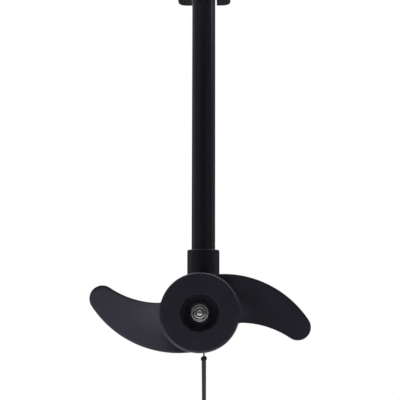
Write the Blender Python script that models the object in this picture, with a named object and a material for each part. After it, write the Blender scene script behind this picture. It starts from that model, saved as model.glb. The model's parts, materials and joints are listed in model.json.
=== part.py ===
"""Transom-mount trolling motor at its real size, in metres, +Z up, bow of the boat towards +Y.

The origin is the middle of the bracket face that rests on the transom.
"""
from math import atan2, cos, hypot, pi, radians, sin, sqrt

import bmesh
import bpy
from mathutils import Matrix, Vector

# Clearances and facets
FIT = 0.0003            # gap between pieces that touch
RUN = 0.0006            # gap round a piece that turns or slides
ROUND_LARGE = 32        # facets round the pod and the hub
ROUND = 20              # facets round the tube and what fits it
ROUND_SMALL = 12        # facets round bolts and pins
ROUND_TINY = 8          # facets round pins, leads and small screws
NOSE_STEPS = 7          # rings of the nose
BLADE_STEPS = 7         # stations along a blade's edges
TIP_STEPS = 4           # stations round half of a blade's tip
BLADE_ACROSS = 6        # facets across a blade
MERGE = 1e-6            # points closer than this are one
SMOOTH_ANGLE = radians(32)

# Shaft tube
TUBE_R = 0.014
TUBE_WALL = 0.0025
TUBE_BELOW = 0.3097     # bare length between the swivel and the tower
TUBE_ABOVE = 0.346      # bare length between the depth collar and the head
LEAD_R = 0.0022
LEAD_SPREAD = 0.0045    # each lead stands this far from the tube's axis

# Swivel housing
HINGE_Y = -0.046
HINGE_Z = 0.055
SHAFT_OFFSET = 0.068    # tilt hinge to tube axis
SWIVEL_ABOVE = 0.020    # top of the swivel above the hinge
SWIVEL_BELOW = 0.186    # foot of the swivel below the hinge
SWIVEL_FOOT_R = 0.043
SWIVEL_FOOT_H = 0.022
SWIVEL_FOOT_ROUND = 0.004
NOTCH_H = 0.010         # notch through the foot, fore and aft, that the tube stands in
NOTCH_GAP = 0.0014      # tube to the notch's sides
SWIVEL_WAIST_R = 0.027
SWIVEL_TOP_R = 0.030
SWIVEL_TOP_H = 0.014
SWIVEL_TOP_EDGE = 0.002
SWIVEL_TAPER = 0.012
BARREL_R = 0.013
ARM_HALF = 0.020
ARM_DROP = 0.024
ARM_RISE = 0.016
BUSH_WALL = 0.004
BUSH_LENGTH = 0.028
BUSH_RIM = 0.004
BUSH_RIM_T = 0.003
TENSION_DROP = 0.125    # tension knob below the hinge
STUD_R = 0.003

# Small knobs with a moulded-in stud
KNOB_R = 0.013
KNOB_T = 0.013
KNOB_LOBES = 6
KNOB_LOBE_DEPTH = 0.0016
KNOB_NECK_R = 0.007
KNOB_NECK = 0.003

# Depth collar
COLLAR_WALL = 0.0085
COLLAR_H = 0.028

# Clamp bracket
SEAT_T = 0.012
SEAT_LOW = -0.040
HOOK_HALF = 0.055
HOOK_UNDER = 0.060      # underside of the hook, where the transom's top edge rests
HOOK_T = 0.012
HOOK_GAP = 0.070        # seat face to jaw
JAW_T = 0.016
JAW_LOW = -0.024
HOOK_BEVEL = 0.004
CHEEK_T = 0.008
EAR_R = 0.016
HINGE_BOLT_R = 0.005
BOLT_HEAD_R = 0.0095
BOLT_HEAD_T = 0.006
TRIM_PIN_R = 0.004
TRIM_HEAD_R = 0.006
TRIM_DROP = 0.075       # trim pin below the hinge
TRIM_HOLES = 3
TRIM_STEP = radians(9)
TRIM_LAND = 0.010       # metal round a trim hole

# Clamp screws
SCREW_X = 0.030
SCREW_Z = 0.010
SCREW_R = 0.005
SCREW_NOSE_R = 0.003
SCREW_NOSE = 0.0035
PAD_FACE = 0.045        # free space between the seat and a pad
PAD_R = 0.013
PAD_T = 0.0055
SCREW_TRAVEL = 0.025    # a knob can go this far in before it meets the jaw
WING_R = 0.024
WING_LOBES = 3
WING_LOBE_DEPTH = 0.009
WING_T = 0.018

# Motor pod
POD_R = 0.041
TOWER_R = 0.0191
TOWER_TOP = 0.0782      # top of the tower above the pod axis
TOWER_EDGE = 0.0015
SOCKET_FLOOR = 0.046    # floor of the tube's socket above the pod axis
FRONT_AFT = 0.040       # front housing behind the tube's axis
FRONT_FORE = 0.045      # front housing ahead of the tube's axis, up to the nose
NOSE_LENGTH = 0.080
FRONT_WALL = 0.004
SPIGOT = 0.009          # length of a spigot inside the can
SPIGOT_WALL = 0.011
CAN_LENGTH = 0.078
CAN_WALL = 0.0025
CAP_FLANGE = 0.010
CAP_NECK = 0.016
CAP_BOSS_R = 0.017
RING_R = 0.001          # sealing rings
THROUGH_BOLT_R = 0.002
THROUGH_HEAD_R = 0.0034
THROUGH_HEAD_T = 0.0032
GROMMET_WALL = 0.0018
SET_SCREW_R = 0.003

# Armature
DRIVE_R = 0.005
THREAD_R = 0.004
BEARING_R = 0.012
BEARING_T = 0.008
SEAL_R = 0.0105
SEAL_T = 0.005
MAGNET_T = 0.008
MAGNET_HALF = radians(62)
AIR_GAP = 0.0009
CORE_LENGTH = 0.044
CORE_SLOTS = 8
CORE_SLOT_DEPTH = 0.009
CORE_SLOT_SHARE = 0.5   # share of each slot's step that is open
WINDING_T = 0.007
COMMUTATOR_R = 0.013
COMMUTATOR_LENGTH = 0.014
BRUSH_W = 0.007
BRUSH_D = 0.008
BRUSH_L = 0.012
BRUSH_PLATE_T = 0.003
SPRING_T = 0.0008

# Propeller
HUB_R = 0.041
HUB_LENGTH = 0.046
HUB_GAP = 0.002         # running gap between the rear cap and the hub
HUB_WALL = 0.004
HUB_FACE_T = 0.005
HUB_EDGE = 0.003
DISH_R = 0.0200         # mouth of the nut recess
DISH_FLOOR_R = 0.0140
DISH_DEPTH = 0.0145
BOSS_R = 0.011
BOSS_FLOOR = 0.008      # thickness of the recess floor, which holds the drive pin's slot
PIN_R = 0.0018
PIN_HALF = 0.0085
PIN_SLOT_HALF = 0.0125
PIN_ANGLE = radians(-7)
WASHER_R = 0.0092
WASHER_T = 0.0016
NUT_R = 0.0075
NUT_HEX_T = 0.0058
NUT_COLLAR_R = 0.0060
NUT_COLLAR_T = 0.0024
THREAD_OUT = 0.0012     # drive shaft end beyond the nut
PROP_PITCH = 0.133
TIP_CENTRE_R = 0.1025
TIP_ANGLE = radians(171.9)
TIP_R = 0.0135
LEAD_ARC_R = 0.1069
LEAD_ROOT = radians(259.4)
TRAIL_ARC_R = 0.0925
TRAIL_ROOT = radians(165.9)
BLADE_ROOT_T = 0.0056
BLADE_TIP_T = 0.0034
BLADE_SINK = 0.002      # blade root inside the hub's wall
BLADE_AFT = 0.005       # trailing root ahead of the hub's rear face
BLADES = 2

# Skeg
KEEL_DROP = 0.0476      # bead below the pod axis
KEEL_AFT = -0.006
KEEL_FORE = 0.066
KEEL_T = 0.0024
BEAD_R = 0.0022
SKEG_BULB_R = 0.0037
SKEG_T = 0.0044
SKEG_LOW = 0.125        # tip of the skeg below the pod axis
SKEG_TIP_AFT = 0.024
SKEG_TIP_FORE = 0.048
SKEG_ROUND = 0.006
SKEG_PIN_R = 0.001

# Head
HEAD_HALF_X = 0.046
HEAD_HALF_Y = 0.072
HEAD_FORWARD = 0.014    # middle of the head ahead of the tube's axis
HEAD_CORNER = 0.022
HEAD_BASE_H = 0.040
HEAD_COVER_H = 0.030
HEAD_WALL = 0.003
HEAD_BOSS_R = 0.021
HEAD_BOSS = 0.034
HEAD_SOCKET = 0.044
COVER_SCREW_R = 0.002
COVER_SCREW_HEAD_R = 0.0036
COVER_SCREW_HEAD_T = 0.0022
COVER_POST_R = 0.005
COVER_SCREW_IN = 0.022  # cover screw inside the head's end
GLAND_R = 0.009
GLAND_HOLE_R = 0.0045
GLAND_THREAD_R = 0.0065
GLAND_OUT = 0.020
GLAND_Z = 0.020

# Tiller
PIVOT_OUT = 0.018       # tiller pivot ahead of the head
PIVOT_Z = 0.022
PIVOT_PIN_R = 0.004
PIVOT_HEAD_R = 0.006
PIVOT_HEAD_T = 0.004
EYE_R = 0.0135
EYE_HALF = 0.014
LUG_T = 0.007
LUG_R = 0.012
ARM_R = 0.0130
ARM_LENGTH = 0.190
EXTENSION_R = 0.0092
EXTENSION_WALL = 0.0016
SWITCH_LENGTH = 0.022
SWITCH_ROOM = 0.0165    # switch to the extension when it is pushed in
ROD_SIDE = 0.005
GRIP_LENGTH = 0.130
GRIP_START = 0.003      # gap between the arm and the grip
GRIP_WALL = 0.0035
GRIP_END = 0.006
GRIP_IN = 0.112         # extension inside the grip
SOCKET_TUBE_WALL = 0.0014
SLEEVE_T = 0.0042
SLEEVE_RIBS = 6
SLEEVE_RIB = 0.0012

# Sizes that follow from the ones above
BUSH_R = TUBE_R + FIT + BUSH_WALL
BUSH_RIM_R = BUSH_R + BUSH_RIM
SWIVEL_BORE_R = BUSH_R + FIT
BARREL_HALF = SWIVEL_WAIST_R + FIT
CHEEK_IN = BARREL_HALF + 2 * FIT
COLLAR_R = TUBE_R + FIT + COLLAR_WALL
COLLAR_LOW = SWIVEL_ABOVE + FIT
HEAD_LOW = COLLAR_LOW + COLLAR_H + TUBE_ABOVE
POD_DROP = SWIVEL_BELOW + TUBE_BELOW + TOWER_TOP
CAN_IN = POD_R - CAN_WALL
SPIGOT_R = CAN_IN - FIT
CAN_AFT = -FRONT_AFT - FIT - CAN_LENGTH
CAP_FACE = CAN_AFT - FIT
CAP_AFT = CAP_FACE - CAP_FLANGE
CAP_END = CAP_AFT - CAP_NECK
CAP_NECK_R = HUB_R - HUB_WALL - 5 * RUN
BOLT_CIRCLE = SPIGOT_R - 2 * RING_R - THROUGH_BOLT_R - 3 * RUN
MAGNET_IN = CAN_IN - FIT - MAGNET_T
CORE_R = MAGNET_IN - AIR_GAP
CORE_FORE = -FRONT_AFT - SPIGOT - WINDING_T
CORE_AFT = CORE_FORE - CORE_LENGTH
COMMUTATOR_AFT = CORE_FORE + WINDING_T + FIT
PLATE_AFT = COMMUTATOR_AFT + COMMUTATOR_LENGTH + RUN
TOWER_BASE = sqrt(POD_R ** 2 - TOWER_R ** 2) - FRONT_WALL
LEAD_HOLE_R = LEAD_SPREAD + LEAD_R + GROMMET_WALL
HUB_FORE = CAP_AFT - HUB_GAP
HUB_AFT = HUB_FORE - HUB_LENGTH
DISH_FLOOR = HUB_AFT + DISH_DEPTH
BOSS_FORE = CAP_END - RUN - FIT
PIN_Y = DISH_FLOOR + PIN_R + FIT
WASHER_Y = DISH_FLOOR - FIT
NUT_Y = WASHER_Y - WASHER_T - FIT
THREAD_END = NUT_Y - NUT_HEX_T - NUT_COLLAR_T - THREAD_OUT
COVER_SCREW_Y = HEAD_HALF_Y - COVER_SCREW_IN
ARM_FLOOR = EYE_R + 2 * HEAD_WALL    # bottom of the tiller arm's bore, ahead of the eye
EXTENSION_IN = ARM_LENGTH - ARM_FLOOR - SWITCH_LENGTH - SWITCH_ROOM
SKEG_PIN_AT = (0, (KEEL_AFT + KEEL_FORE) / 2, -KEEL_DROP)
AXES = {"X": Vector((1, 0, 0)), "Y": Vector((0, 1, 0)), "Z": Vector((0, 0, 1))}


def clear_scene():
    for obj in list(bpy.data.objects):
        bpy.data.objects.remove(obj, do_unlink=True)


def look(name, colour, roughness, metallic=0.0):
    """Plain surface with one colour."""
    mat = bpy.data.materials.new(name)
    mat.use_nodes = True
    shader = mat.node_tree.nodes["Principled BSDF"]
    shader.inputs["Base Color"].default_value = (*colour, 1)
    shader.inputs["Roughness"].default_value = roughness
    shader.inputs["Metallic"].default_value = metallic
    return mat


def frame(name, parent, place):
    """Empty that carries a sub-assembly; a moving one stands on its joint's axis."""
    empty = bpy.data.objects.new(name, None)
    empty.location = place
    empty.parent = parent
    bpy.context.collection.objects.link(empty)
    return empty


def piece(name, bm, parent, mat):
    """One named solid from its mesh."""
    mesh = bpy.data.meshes.new(name)
    bm.to_mesh(mesh)
    bm.free()
    mesh.shade_smooth()
    mesh.set_sharp_from_angle(angle=SMOOTH_ANGLE)
    mesh.materials.append(mat)
    obj = bpy.data.objects.new(name, mesh)
    obj.parent = parent
    bpy.context.collection.objects.link(obj)
    return obj


def combine(target, operation, bm):
    """Join or cut a solid with a helper shape that is hidden afterwards."""
    helper = piece(target.name + "_helper", bm, target.parent, target.data.materials[0])
    helper.hide_render = True
    helper.display_type = "WIRE"
    step = target.modifiers.new(operation.lower(), "BOOLEAN")
    step.operation = operation
    step.solver = "EXACT"
    step.object = helper


def join(target, *shapes):
    for bm in shapes:
        combine(target, "UNION", bm)


def cut(target, *shapes):
    for bm in shapes:
        combine(target, "DIFFERENCE", bm)


def moved(bm, place):
    bmesh.ops.translate(bm, verts=bm.verts, vec=Vector(place))
    return bm


def turned(profile, axis, steps):
    """Solid of revolution from (radius, height) points; a profile off the axis closes on itself."""
    bm = bmesh.new()
    side = {"X": lambda r, h: (h, r, 0), "Y": lambda r, h: (r, h, 0), "Z": lambda r, h: (r, 0, h)}[axis]
    hollow = profile[0][0] > 0
    flat_start = not hollow and profile[0][1] == profile[1][1]
    flat_end = not hollow and profile[-1][1] == profile[-2][1]
    points = [bm.verts.new(side(r, h)) for r, h in profile[flat_start:len(profile) - flat_end]]
    edges = [bm.edges.new(pair) for pair in zip(points, points[1:])]
    if hollow:
        edges.append(bm.edges.new((points[-1], points[0])))
    bmesh.ops.spin(bm, geom=points + edges, axis=AXES[axis], cent=(0, 0, 0), angle=2 * pi,
                   steps=steps, use_merge=True)
    bmesh.ops.remove_doubles(bm, verts=bm.verts, dist=MERGE)
    bmesh.ops.holes_fill(bm, edges=bm.edges)
    bmesh.ops.recalc_face_normals(bm, faces=bm.faces)
    return bm


def bar(radius, axis, low, high, steps=ROUND_SMALL):
    return turned([(0, low), (radius, low), (radius, high), (0, high)], axis, steps)


def tube(inner, outer, axis, low, high, steps=ROUND):
    return turned([(inner, low), (outer, low), (outer, high), (inner, high)], axis, steps)


def prism(outline, axis, low, high):
    """Flat outline drawn across an axis, from low to high along it."""
    bm = bmesh.new()
    lift = {"X": lambda a, b: (low, a, b), "Y": lambda a, b: (a, low, b), "Z": lambda a, b: (a, b, low)}[axis]
    face = bm.faces.new([bm.verts.new(lift(a, b)) for a, b in outline])
    grown = bmesh.ops.extrude_face_region(bm, geom=[face])["geom"]
    top = [item for item in grown if isinstance(item, bmesh.types.BMVert)]
    bmesh.ops.translate(bm, verts=top, vec=AXES[axis] * (high - low))
    bmesh.ops.recalc_face_normals(bm, faces=bm.faces)
    return bm


def block(low, high):
    """Box between two corners."""
    outline = [(low[0], low[1]), (high[0], low[1]), (high[0], high[1]), (low[0], high[1])]
    return prism(outline, "Z", low[2], high[2])


def arc(centre, radius, start, end, steps):
    """Points along an arc, both ends included."""
    angles = [start + (end - start) * i / steps for i in range(steps + 1)]
    return [(centre[0] + radius * cos(a), centre[1] + radius * sin(a)) for a in angles]


def lobed(radius, depth, lobes, steps=6):
    """Outline of a hand knob."""
    count = lobes * steps
    turns = [2 * pi * i / count for i in range(count)]
    return [((radius - depth * (1 - cos(lobes * a)) / 2) * cos(a),
             (radius - depth * (1 - cos(lobes * a)) / 2) * sin(a)) for a in turns]


def stacked(outline, levels):
    """Solid whose sides follow an outline; levels hold (inset, height) from one closed end to the other."""
    bm = bmesh.new()
    loops = [[bm.verts.new((x, y, z)) for x, y in outline(inset)] for inset, z in levels]
    for lower, upper in zip(loops, loops[1:]):
        for i in range(len(lower)):
            bm.faces.new((lower[i - 1], lower[i], upper[i], upper[i - 1]))
    bm.faces.new(loops[0])
    bm.faces.new(loops[-1])
    bmesh.ops.recalc_face_normals(bm, faces=bm.faces)
    return bm


def meeting(first, first_r, second, second_r):
    """Point at given distances from two points, on the right of the way from the first to the second."""
    gap = Vector(second) - Vector(first)
    along = (first_r ** 2 - second_r ** 2 + gap.length_squared) / (2 * gap.length)
    across = sqrt(first_r ** 2 - along ** 2)
    way = gap.normalized()
    return Vector(first) + way * along + Vector((way.y, -way.x)) * across


# Clamp bracket and what it carries


def clamp_bracket(parent, mat):
    """Hook over the transom with two cheeks for the tilt hinge and a jaw for the clamp screws."""
    jaw_out = HOOK_GAP + JAW_T
    top = HOOK_UNDER + HOOK_T
    hook = [(0, SEAT_LOW), (0, HOOK_UNDER), (HOOK_GAP, HOOK_UNDER), (HOOK_GAP, JAW_LOW), (jaw_out, JAW_LOW),
            (jaw_out, top - HOOK_BEVEL), (jaw_out - HOOK_BEVEL, top), (HOOK_BEVEL - SEAT_T, top),
            (-SEAT_T, top - HOOK_BEVEL), (-SEAT_T, SEAT_LOW)]
    bracket = piece("clamp_bracket", prism(hook, "X", -HOOK_HALF, HOOK_HALF), parent, mat)
    holes = [trim_hole(i) for i in range(TRIM_HOLES)]
    cheek = [(FIT - SEAT_T, top - HOOK_BEVEL)]
    cheek += arc((HINGE_Y, HINGE_Z), EAR_R, radians(80), radians(190), 6)
    cheek += arc(holes[-1], TRIM_LAND, radians(140), radians(240), 4)
    cheek += arc(holes[0], TRIM_LAND, radians(250), radians(275), 2)
    cheek += [(FIT - SEAT_T, SEAT_LOW)]
    for low in (CHEEK_IN, -CHEEK_IN - CHEEK_T):
        join(bracket, prism(cheek, "X", low, low + CHEEK_T))
    across = CHEEK_IN + CHEEK_T + RUN
    bores = [(HINGE_Y, HINGE_Z, HINGE_BOLT_R)] + [(y, z, TRIM_PIN_R) for y, z in holes]
    for y, z, radius in bores:
        cut(bracket, moved(bar(radius + FIT, "X", -across, across), (0, y, z)))
    for side in (-1, 1):
        hole = bar(SCREW_R + RUN, "Y", HOOK_GAP - RUN, jaw_out + RUN)
        cut(bracket, moved(hole, (side * SCREW_X, 0, SCREW_Z)))


def trim_hole(step):
    """Middle of a trim hole; the first one holds the pin against the swivel."""
    y = SWIVEL_WAIST_R + FIT + TRIM_PIN_R - SHAFT_OFFSET
    reach = hypot(y, TRIM_DROP)
    angle = atan2(-TRIM_DROP, y) - step * TRIM_STEP
    return HINGE_Y + reach * cos(angle), HINGE_Z + reach * sin(angle)


def bracket_hardware(parent, mat):
    """Hinge bolt with its nut, and the trim pin."""
    out = CHEEK_IN + CHEEK_T + FIT
    axis = frame("hinge_line", parent, (0, HINGE_Y, HINGE_Z))
    bolt = [(0, -out - BOLT_HEAD_T), (BOLT_HEAD_R, -out - BOLT_HEAD_T), (BOLT_HEAD_R, -out),
            (HINGE_BOLT_R, -out), (HINGE_BOLT_R, out + BOLT_HEAD_T), (0, out + BOLT_HEAD_T)]
    piece("hinge_bolt", turned(bolt, "X", ROUND_SMALL), axis, mat)
    nut = prism(arc((0, 0), BOLT_HEAD_R, 0, 2 * pi * 5 / 6, 5), "X", out, out + BOLT_HEAD_T)
    cut(piece("hinge_nut", nut, axis, mat), bar(HINGE_BOLT_R + FIT, "X", 0, 2 * out))
    y, z = trim_hole(0)
    far = out + BOLT_HEAD_T
    pin = [(0, -far), (TRIM_HEAD_R, -far), (TRIM_HEAD_R, -out)]
    pin += [(TRIM_PIN_R, -out), (TRIM_PIN_R, far), (0, far)]
    piece("trim_pin", turned(pin, "X", ROUND_SMALL), frame("trim_line", parent, (0, y, z)), mat)


def clamp_screw(parent, name, side, metal, plastic):
    """Pad, screw and hand knob on one clamp axis."""
    axis = frame("clamp_axis_" + name, parent, (side * SCREW_X, 0, SCREW_Z))
    back = PAD_FACE + PAD_T
    socket = back - SCREW_NOSE + FIT
    pad = [(0, PAD_FACE), (PAD_R, PAD_FACE), (PAD_R, back - PAD_T / 3), (SCREW_R + PAD_T / 3, back),
           (SCREW_NOSE_R + RUN, back), (SCREW_NOSE_R + RUN, socket), (0, socket)]
    piece("clamp_pad_" + name, turned(pad, "Y", ROUND_SMALL), axis, metal)
    nose = socket + FIT
    shoulder = back + FIT
    wing = HOOK_GAP + JAW_T + SCREW_TRAVEL + RUN
    end = wing + WING_T * 3 / 4
    screw = [(0, nose), (SCREW_NOSE_R, nose), (SCREW_NOSE_R, shoulder), (SCREW_R, shoulder), (SCREW_R, end),
             (0, end)]
    piece("clamp_screw_" + name, turned(screw, "Y", ROUND_SMALL), axis, metal)
    grip = prism(lobed(WING_R, WING_LOBE_DEPTH, WING_LOBES, 8), "Y", wing, wing + WING_T)
    knob = piece("clamp_knob_" + name, grip, axis, plastic)
    cut(knob, bar(SCREW_R + FIT, "Y", wing - RUN, end + FIT))


def stud_knob(name, parent, place, way, reach, mat):
    """Lobed knob with a stud that reaches inwards; way is the axis and the side that the knob is on."""
    axis = frame(name + "_axis", parent, place)
    sign = 1 if way[0] == "+" else -1
    face = sign * reach
    outer = sign * (reach + KNOB_NECK + KNOB_T)
    neck = sign * (reach + KNOB_NECK)
    low, high = sorted((neck, outer))
    knob = piece(name, prism(lobed(KNOB_R, KNOB_LOBE_DEPTH, KNOB_LOBES), way[1], low, high), axis, mat)
    sunk = neck + sign * KNOB_T / 2
    stud = [(0, 0), (STUD_R, 0), (STUD_R, face), (KNOB_NECK_R, face), (KNOB_NECK_R, sunk), (0, sunk)]
    join(knob, turned(stud, way[1], ROUND_SMALL))


# Swivel and depth collar


def swivel_housing(parent, mat):
    """Long sleeve round the tube with an arm that reaches to the tilt hinge."""
    low = -SWIVEL_BELOW
    foot = low + SWIVEL_FOOT_H
    top = SWIVEL_ABOVE - SWIVEL_TOP_H
    corner = (SWIVEL_FOOT_R - SWIVEL_FOOT_ROUND, low + SWIVEL_FOOT_ROUND)
    sleeve = [(0, low)] + arc(corner, SWIVEL_FOOT_ROUND, -pi / 2, 0, 3)
    sleeve += [(SWIVEL_FOOT_R, foot), (SWIVEL_WAIST_R, foot + SWIVEL_TAPER)]
    sleeve += [(SWIVEL_WAIST_R, top - SWIVEL_TAPER), (SWIVEL_TOP_R, top)]
    sleeve += [(SWIVEL_TOP_R, SWIVEL_ABOVE - SWIVEL_TOP_EDGE), (SWIVEL_TOP_R - SWIVEL_TOP_EDGE, SWIVEL_ABOVE)]
    sleeve += [(0, SWIVEL_ABOVE)]
    housing = piece("swivel_housing", turned(sleeve, "Z", ROUND), parent, mat)
    root = SWIVEL_WAIST_R / 3
    arm = [(root, -ARM_DROP), (SHAFT_OFFSET, -BARREL_R), (SHAFT_OFFSET, BARREL_R), (root, ARM_RISE)]
    join(housing, prism(arm, "X", -ARM_HALF, ARM_HALF),
         moved(bar(BARREL_R, "X", -BARREL_HALF, BARREL_HALF, ROUND), (0, SHAFT_OFFSET, 0)))
    rim = BUSH_RIM_R + FIT
    step = BUSH_RIM_T + FIT
    seat = low + NOTCH_H + step
    bore = [(0, low - RUN), (rim, low - RUN), (rim, seat), (SWIVEL_BORE_R, seat)]
    bore += [(SWIVEL_BORE_R, SWIVEL_ABOVE - step), (rim, SWIVEL_ABOVE - step), (rim, SWIVEL_ABOVE + RUN)]
    bore += [(0, SWIVEL_ABOVE + RUN)]
    side = TUBE_R + NOTCH_GAP
    notch = block((-side, -2 * SWIVEL_FOOT_R, low - RUN), (side, 2 * SWIVEL_FOOT_R, low + NOTCH_H))
    cut(housing, turned(bore, "Z", ROUND), notch,
        moved(bar(HINGE_BOLT_R + RUN, "X", -2 * BARREL_HALF, 2 * BARREL_HALF), (0, SHAFT_OFFSET, 0)),
        moved(bar(STUD_R + RUN, "X", TUBE_R, 2 * SWIVEL_WAIST_R), (0, 0, -TENSION_DROP)))


def bush(name, parent, face, inward, mat):
    """Flanged bush that guides the tube at one end of the swivel."""
    inner = TUBE_R + FIT
    rim = face + inward * BUSH_RIM_T
    end = face + inward * BUSH_LENGTH
    ring = [(inner, face), (BUSH_RIM_R, face), (BUSH_RIM_R, rim), (BUSH_R, rim), (BUSH_R, end), (inner, end)]
    piece(name, turned(ring, "Z", ROUND), parent, mat)


def depth_collar(parent, mat):
    """Ring that is clamped to the tube and rests on the swivel."""
    inner = TUBE_R + FIT
    edge = COLLAR_WALL / 6
    top = COLLAR_LOW + COLLAR_H
    profile = [(inner, COLLAR_LOW), (COLLAR_R - edge, COLLAR_LOW), (COLLAR_R, COLLAR_LOW + edge)]
    profile += [(COLLAR_R, top - edge), (COLLAR_R - edge, top), (inner, top)]
    ring = piece("depth_collar", turned(profile, "Z", ROUND), parent, mat)
    middle = COLLAR_LOW + COLLAR_H / 2
    cut(ring, moved(bar(STUD_R + RUN, "Y", -2 * COLLAR_R, 0), (0, 0, middle)))


# Shaft tube and motor housing


def shaft_tube(parent, mat):
    low = SOCKET_FLOOR + FIT - POD_DROP
    high = HEAD_LOW + HEAD_SOCKET - FIT
    piece("shaft_tube", tube(TUBE_R - TUBE_WALL, TUBE_R, "Z", low, high), parent, mat)


def leads(parent, rubber, red, black):
    """Two motor leads inside the tube and the grommet that holds them at the tower."""
    floor = SOCKET_FLOOR - POD_DROP
    ceiling = TOWER_BASE - POD_DROP
    plug = piece("lead_grommet", bar(LEAD_HOLE_R, "Z", ceiling, floor, ROUND), parent, rubber)
    for side, name, mat in ((-1, "lead_positive", red), (1, "lead_negative", black)):
        centre = (side * LEAD_SPREAD, 0, 0)
        cut(plug, moved(bar(LEAD_R + FIT, "Z", ceiling - RUN, floor + RUN, ROUND_TINY), centre))
        run = bar(LEAD_R, "Z", ceiling - LEAD_SPREAD, HEAD_LOW + HEAD_SOCKET + LEAD_SPREAD, ROUND_TINY)
        piece(name, moved(run, centre), parent, mat)


def spigot_side(end, root):
    """Outer side of a spigot from its free end to the step at its root that holds the sealing ring."""
    floor = SPIGOT_R - 2 * RING_R - FIT
    step = root + 2 * (RING_R + FIT) * (1 if end > root else -1)
    return [(SPIGOT_R, end), (SPIGOT_R, step), (floor, step), (floor, root)]


def front_housing(parent, mat):
    """Nose, tower and keel of the motor pod, hollow behind the nose."""
    end = -FRONT_AFT - SPIGOT
    shelf = -FRONT_AFT + SPIGOT_WALL
    bore = SPIGOT_R - SPIGOT_WALL
    inner = POD_R - FRONT_WALL
    shell = [(0, FRONT_FORE + NOSE_LENGTH / 3), (inner * 3 / 4, FRONT_FORE)]
    shell += [(inner, FRONT_FORE - NOSE_LENGTH / 4), (inner, shelf), (bore, shelf), (bore, end)]
    shell += spigot_side(end, -FRONT_AFT) + [(POD_R, -FRONT_AFT)]
    nose = [pi / 2 * i / NOSE_STEPS for i in range(NOSE_STEPS)]
    shell += [(POD_R * cos(a), FRONT_FORE + NOSE_LENGTH * sin(a)) for a in nose]
    shell += [(0, FRONT_FORE + NOSE_LENGTH)]
    housing = piece("front_housing", turned(shell, "Y", ROUND_LARGE), parent, mat)
    tower = [(0, TOWER_BASE), (TOWER_R, TOWER_BASE), (TOWER_R, TOWER_TOP - TOWER_EDGE),
             (TOWER_R - TOWER_EDGE, TOWER_TOP), (0, TOWER_TOP)]
    keel = block((-KEEL_T / 2, KEEL_AFT, -KEEL_DROP), (KEEL_T / 2, KEEL_FORE, FRONT_WALL / 2 - POD_R))
    bead = moved(bar(BEAD_R, "Y", KEEL_AFT, KEEL_FORE), (0, 0, -KEEL_DROP))
    join(housing, turned(tower, "Z", ROUND), keel, bead)
    cut(housing, bar(TUBE_R + FIT, "Z", SOCKET_FLOOR, TOWER_TOP + RUN, ROUND),
        bar(LEAD_HOLE_R + FIT, "Z", 0, SOCKET_FLOOR + RUN, ROUND),
        moved(bar(SET_SCREW_R + FIT, "Y", TUBE_R, TOWER_R + RUN), (0, 0, set_screw_height())),
        moved(bar(SKEG_PIN_R + FIT, "X", -BEAD_R - RUN, BEAD_R + RUN, ROUND_TINY), SKEG_PIN_AT))
    for side in (-1, 1):
        hole = bar(THROUGH_BOLT_R + FIT, "Y", end - RUN, (shelf - FRONT_AFT) / 2)
        cut(housing, moved(hole, (0, 0, side * BOLT_CIRCLE)))


def set_screw_height():
    return (SOCKET_FLOOR + TOWER_TOP) / 2


def tower_hardware(parent, mat):
    """Screw in the tower that holds the tube, and the pin that holds the skeg."""
    screw = bar(SET_SCREW_R, "Y", TUBE_R + FIT, TOWER_R - TOWER_EDGE / 3)
    piece("tube_set_screw", moved(screw, (0, 0, set_screw_height())), parent, mat)
    pin = bar(SKEG_PIN_R, "X", -SKEG_BULB_R, SKEG_BULB_R, ROUND_TINY)
    piece("skeg_pin", moved(pin, SKEG_PIN_AT), parent, mat)


def motor_can(parent, mat):
    piece("motor_can", tube(CAN_IN, POD_R, "Y", CAN_AFT, -FRONT_AFT - FIT, ROUND_LARGE), parent, mat)


def rear_cap(parent, mat):
    """Rear end of the pod with seats for the bearing and the seal."""
    end = CAP_FACE + SPIGOT
    seat = BEARING_R + FIT
    bearing_end = CAP_FACE - BEARING_T - FIT
    seal = SEAL_R + FIT
    seal_end = CAP_END + SEAL_T + FIT
    bore = SPIGOT_R - SPIGOT_WALL
    shell = [(DRIVE_R + RUN, seal_end), (seal, seal_end), (seal, CAP_END), (CAP_BOSS_R, CAP_END)]
    shell += [(CAP_NECK_R, CAP_AFT), (POD_R, CAP_AFT), (POD_R, CAP_FACE)]
    shell += spigot_side(end, CAP_FACE)[::-1]
    shell += [(bore, end), (bore, CAP_FACE), (seat, CAP_FACE), (seat, bearing_end)]
    shell += [(DRIVE_R + RUN, bearing_end)]
    cap = piece("rear_cap", turned(shell, "Y", ROUND_LARGE), parent, mat)
    head_seat = CAP_AFT + THROUGH_HEAD_T + FIT
    for side in (-1, 1):
        hole = bar(THROUGH_BOLT_R + FIT, "Y", CAP_AFT, end + RUN)
        sink = bar(THROUGH_HEAD_R + FIT, "Y", CAP_END, head_seat)
        cut(cap, moved(hole, (0, 0, side * BOLT_CIRCLE)), moved(sink, (0, 0, side * BOLT_CIRCLE)))


def through_bolt(name, parent, side, mat):
    """Long bolt from the rear cap into the front housing."""
    under = CAP_AFT + THROUGH_HEAD_T
    tip = (SPIGOT_WALL - 2 * FRONT_AFT) / 2 - RUN
    shape = [(0, CAP_AFT), (THROUGH_HEAD_R, CAP_AFT), (THROUGH_HEAD_R, under), (THROUGH_BOLT_R, under),
             (THROUGH_BOLT_R, tip), (0, tip)]
    piece(name, moved(turned(shape, "Y", ROUND_SMALL), (0, 0, side * BOLT_CIRCLE)), parent, mat)


def sealing_ring(name, parent, root, inward, mat):
    """Rubber ring in the step at the root of a spigot."""
    middle = root + inward * (RING_R + FIT)
    ring = arc((CAN_IN - FIT - RING_R, middle), RING_R, 0, 2 * pi * 5 / 6, 5)
    piece(name, turned(ring, "Y", ROUND_LARGE), parent, mat)


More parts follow.
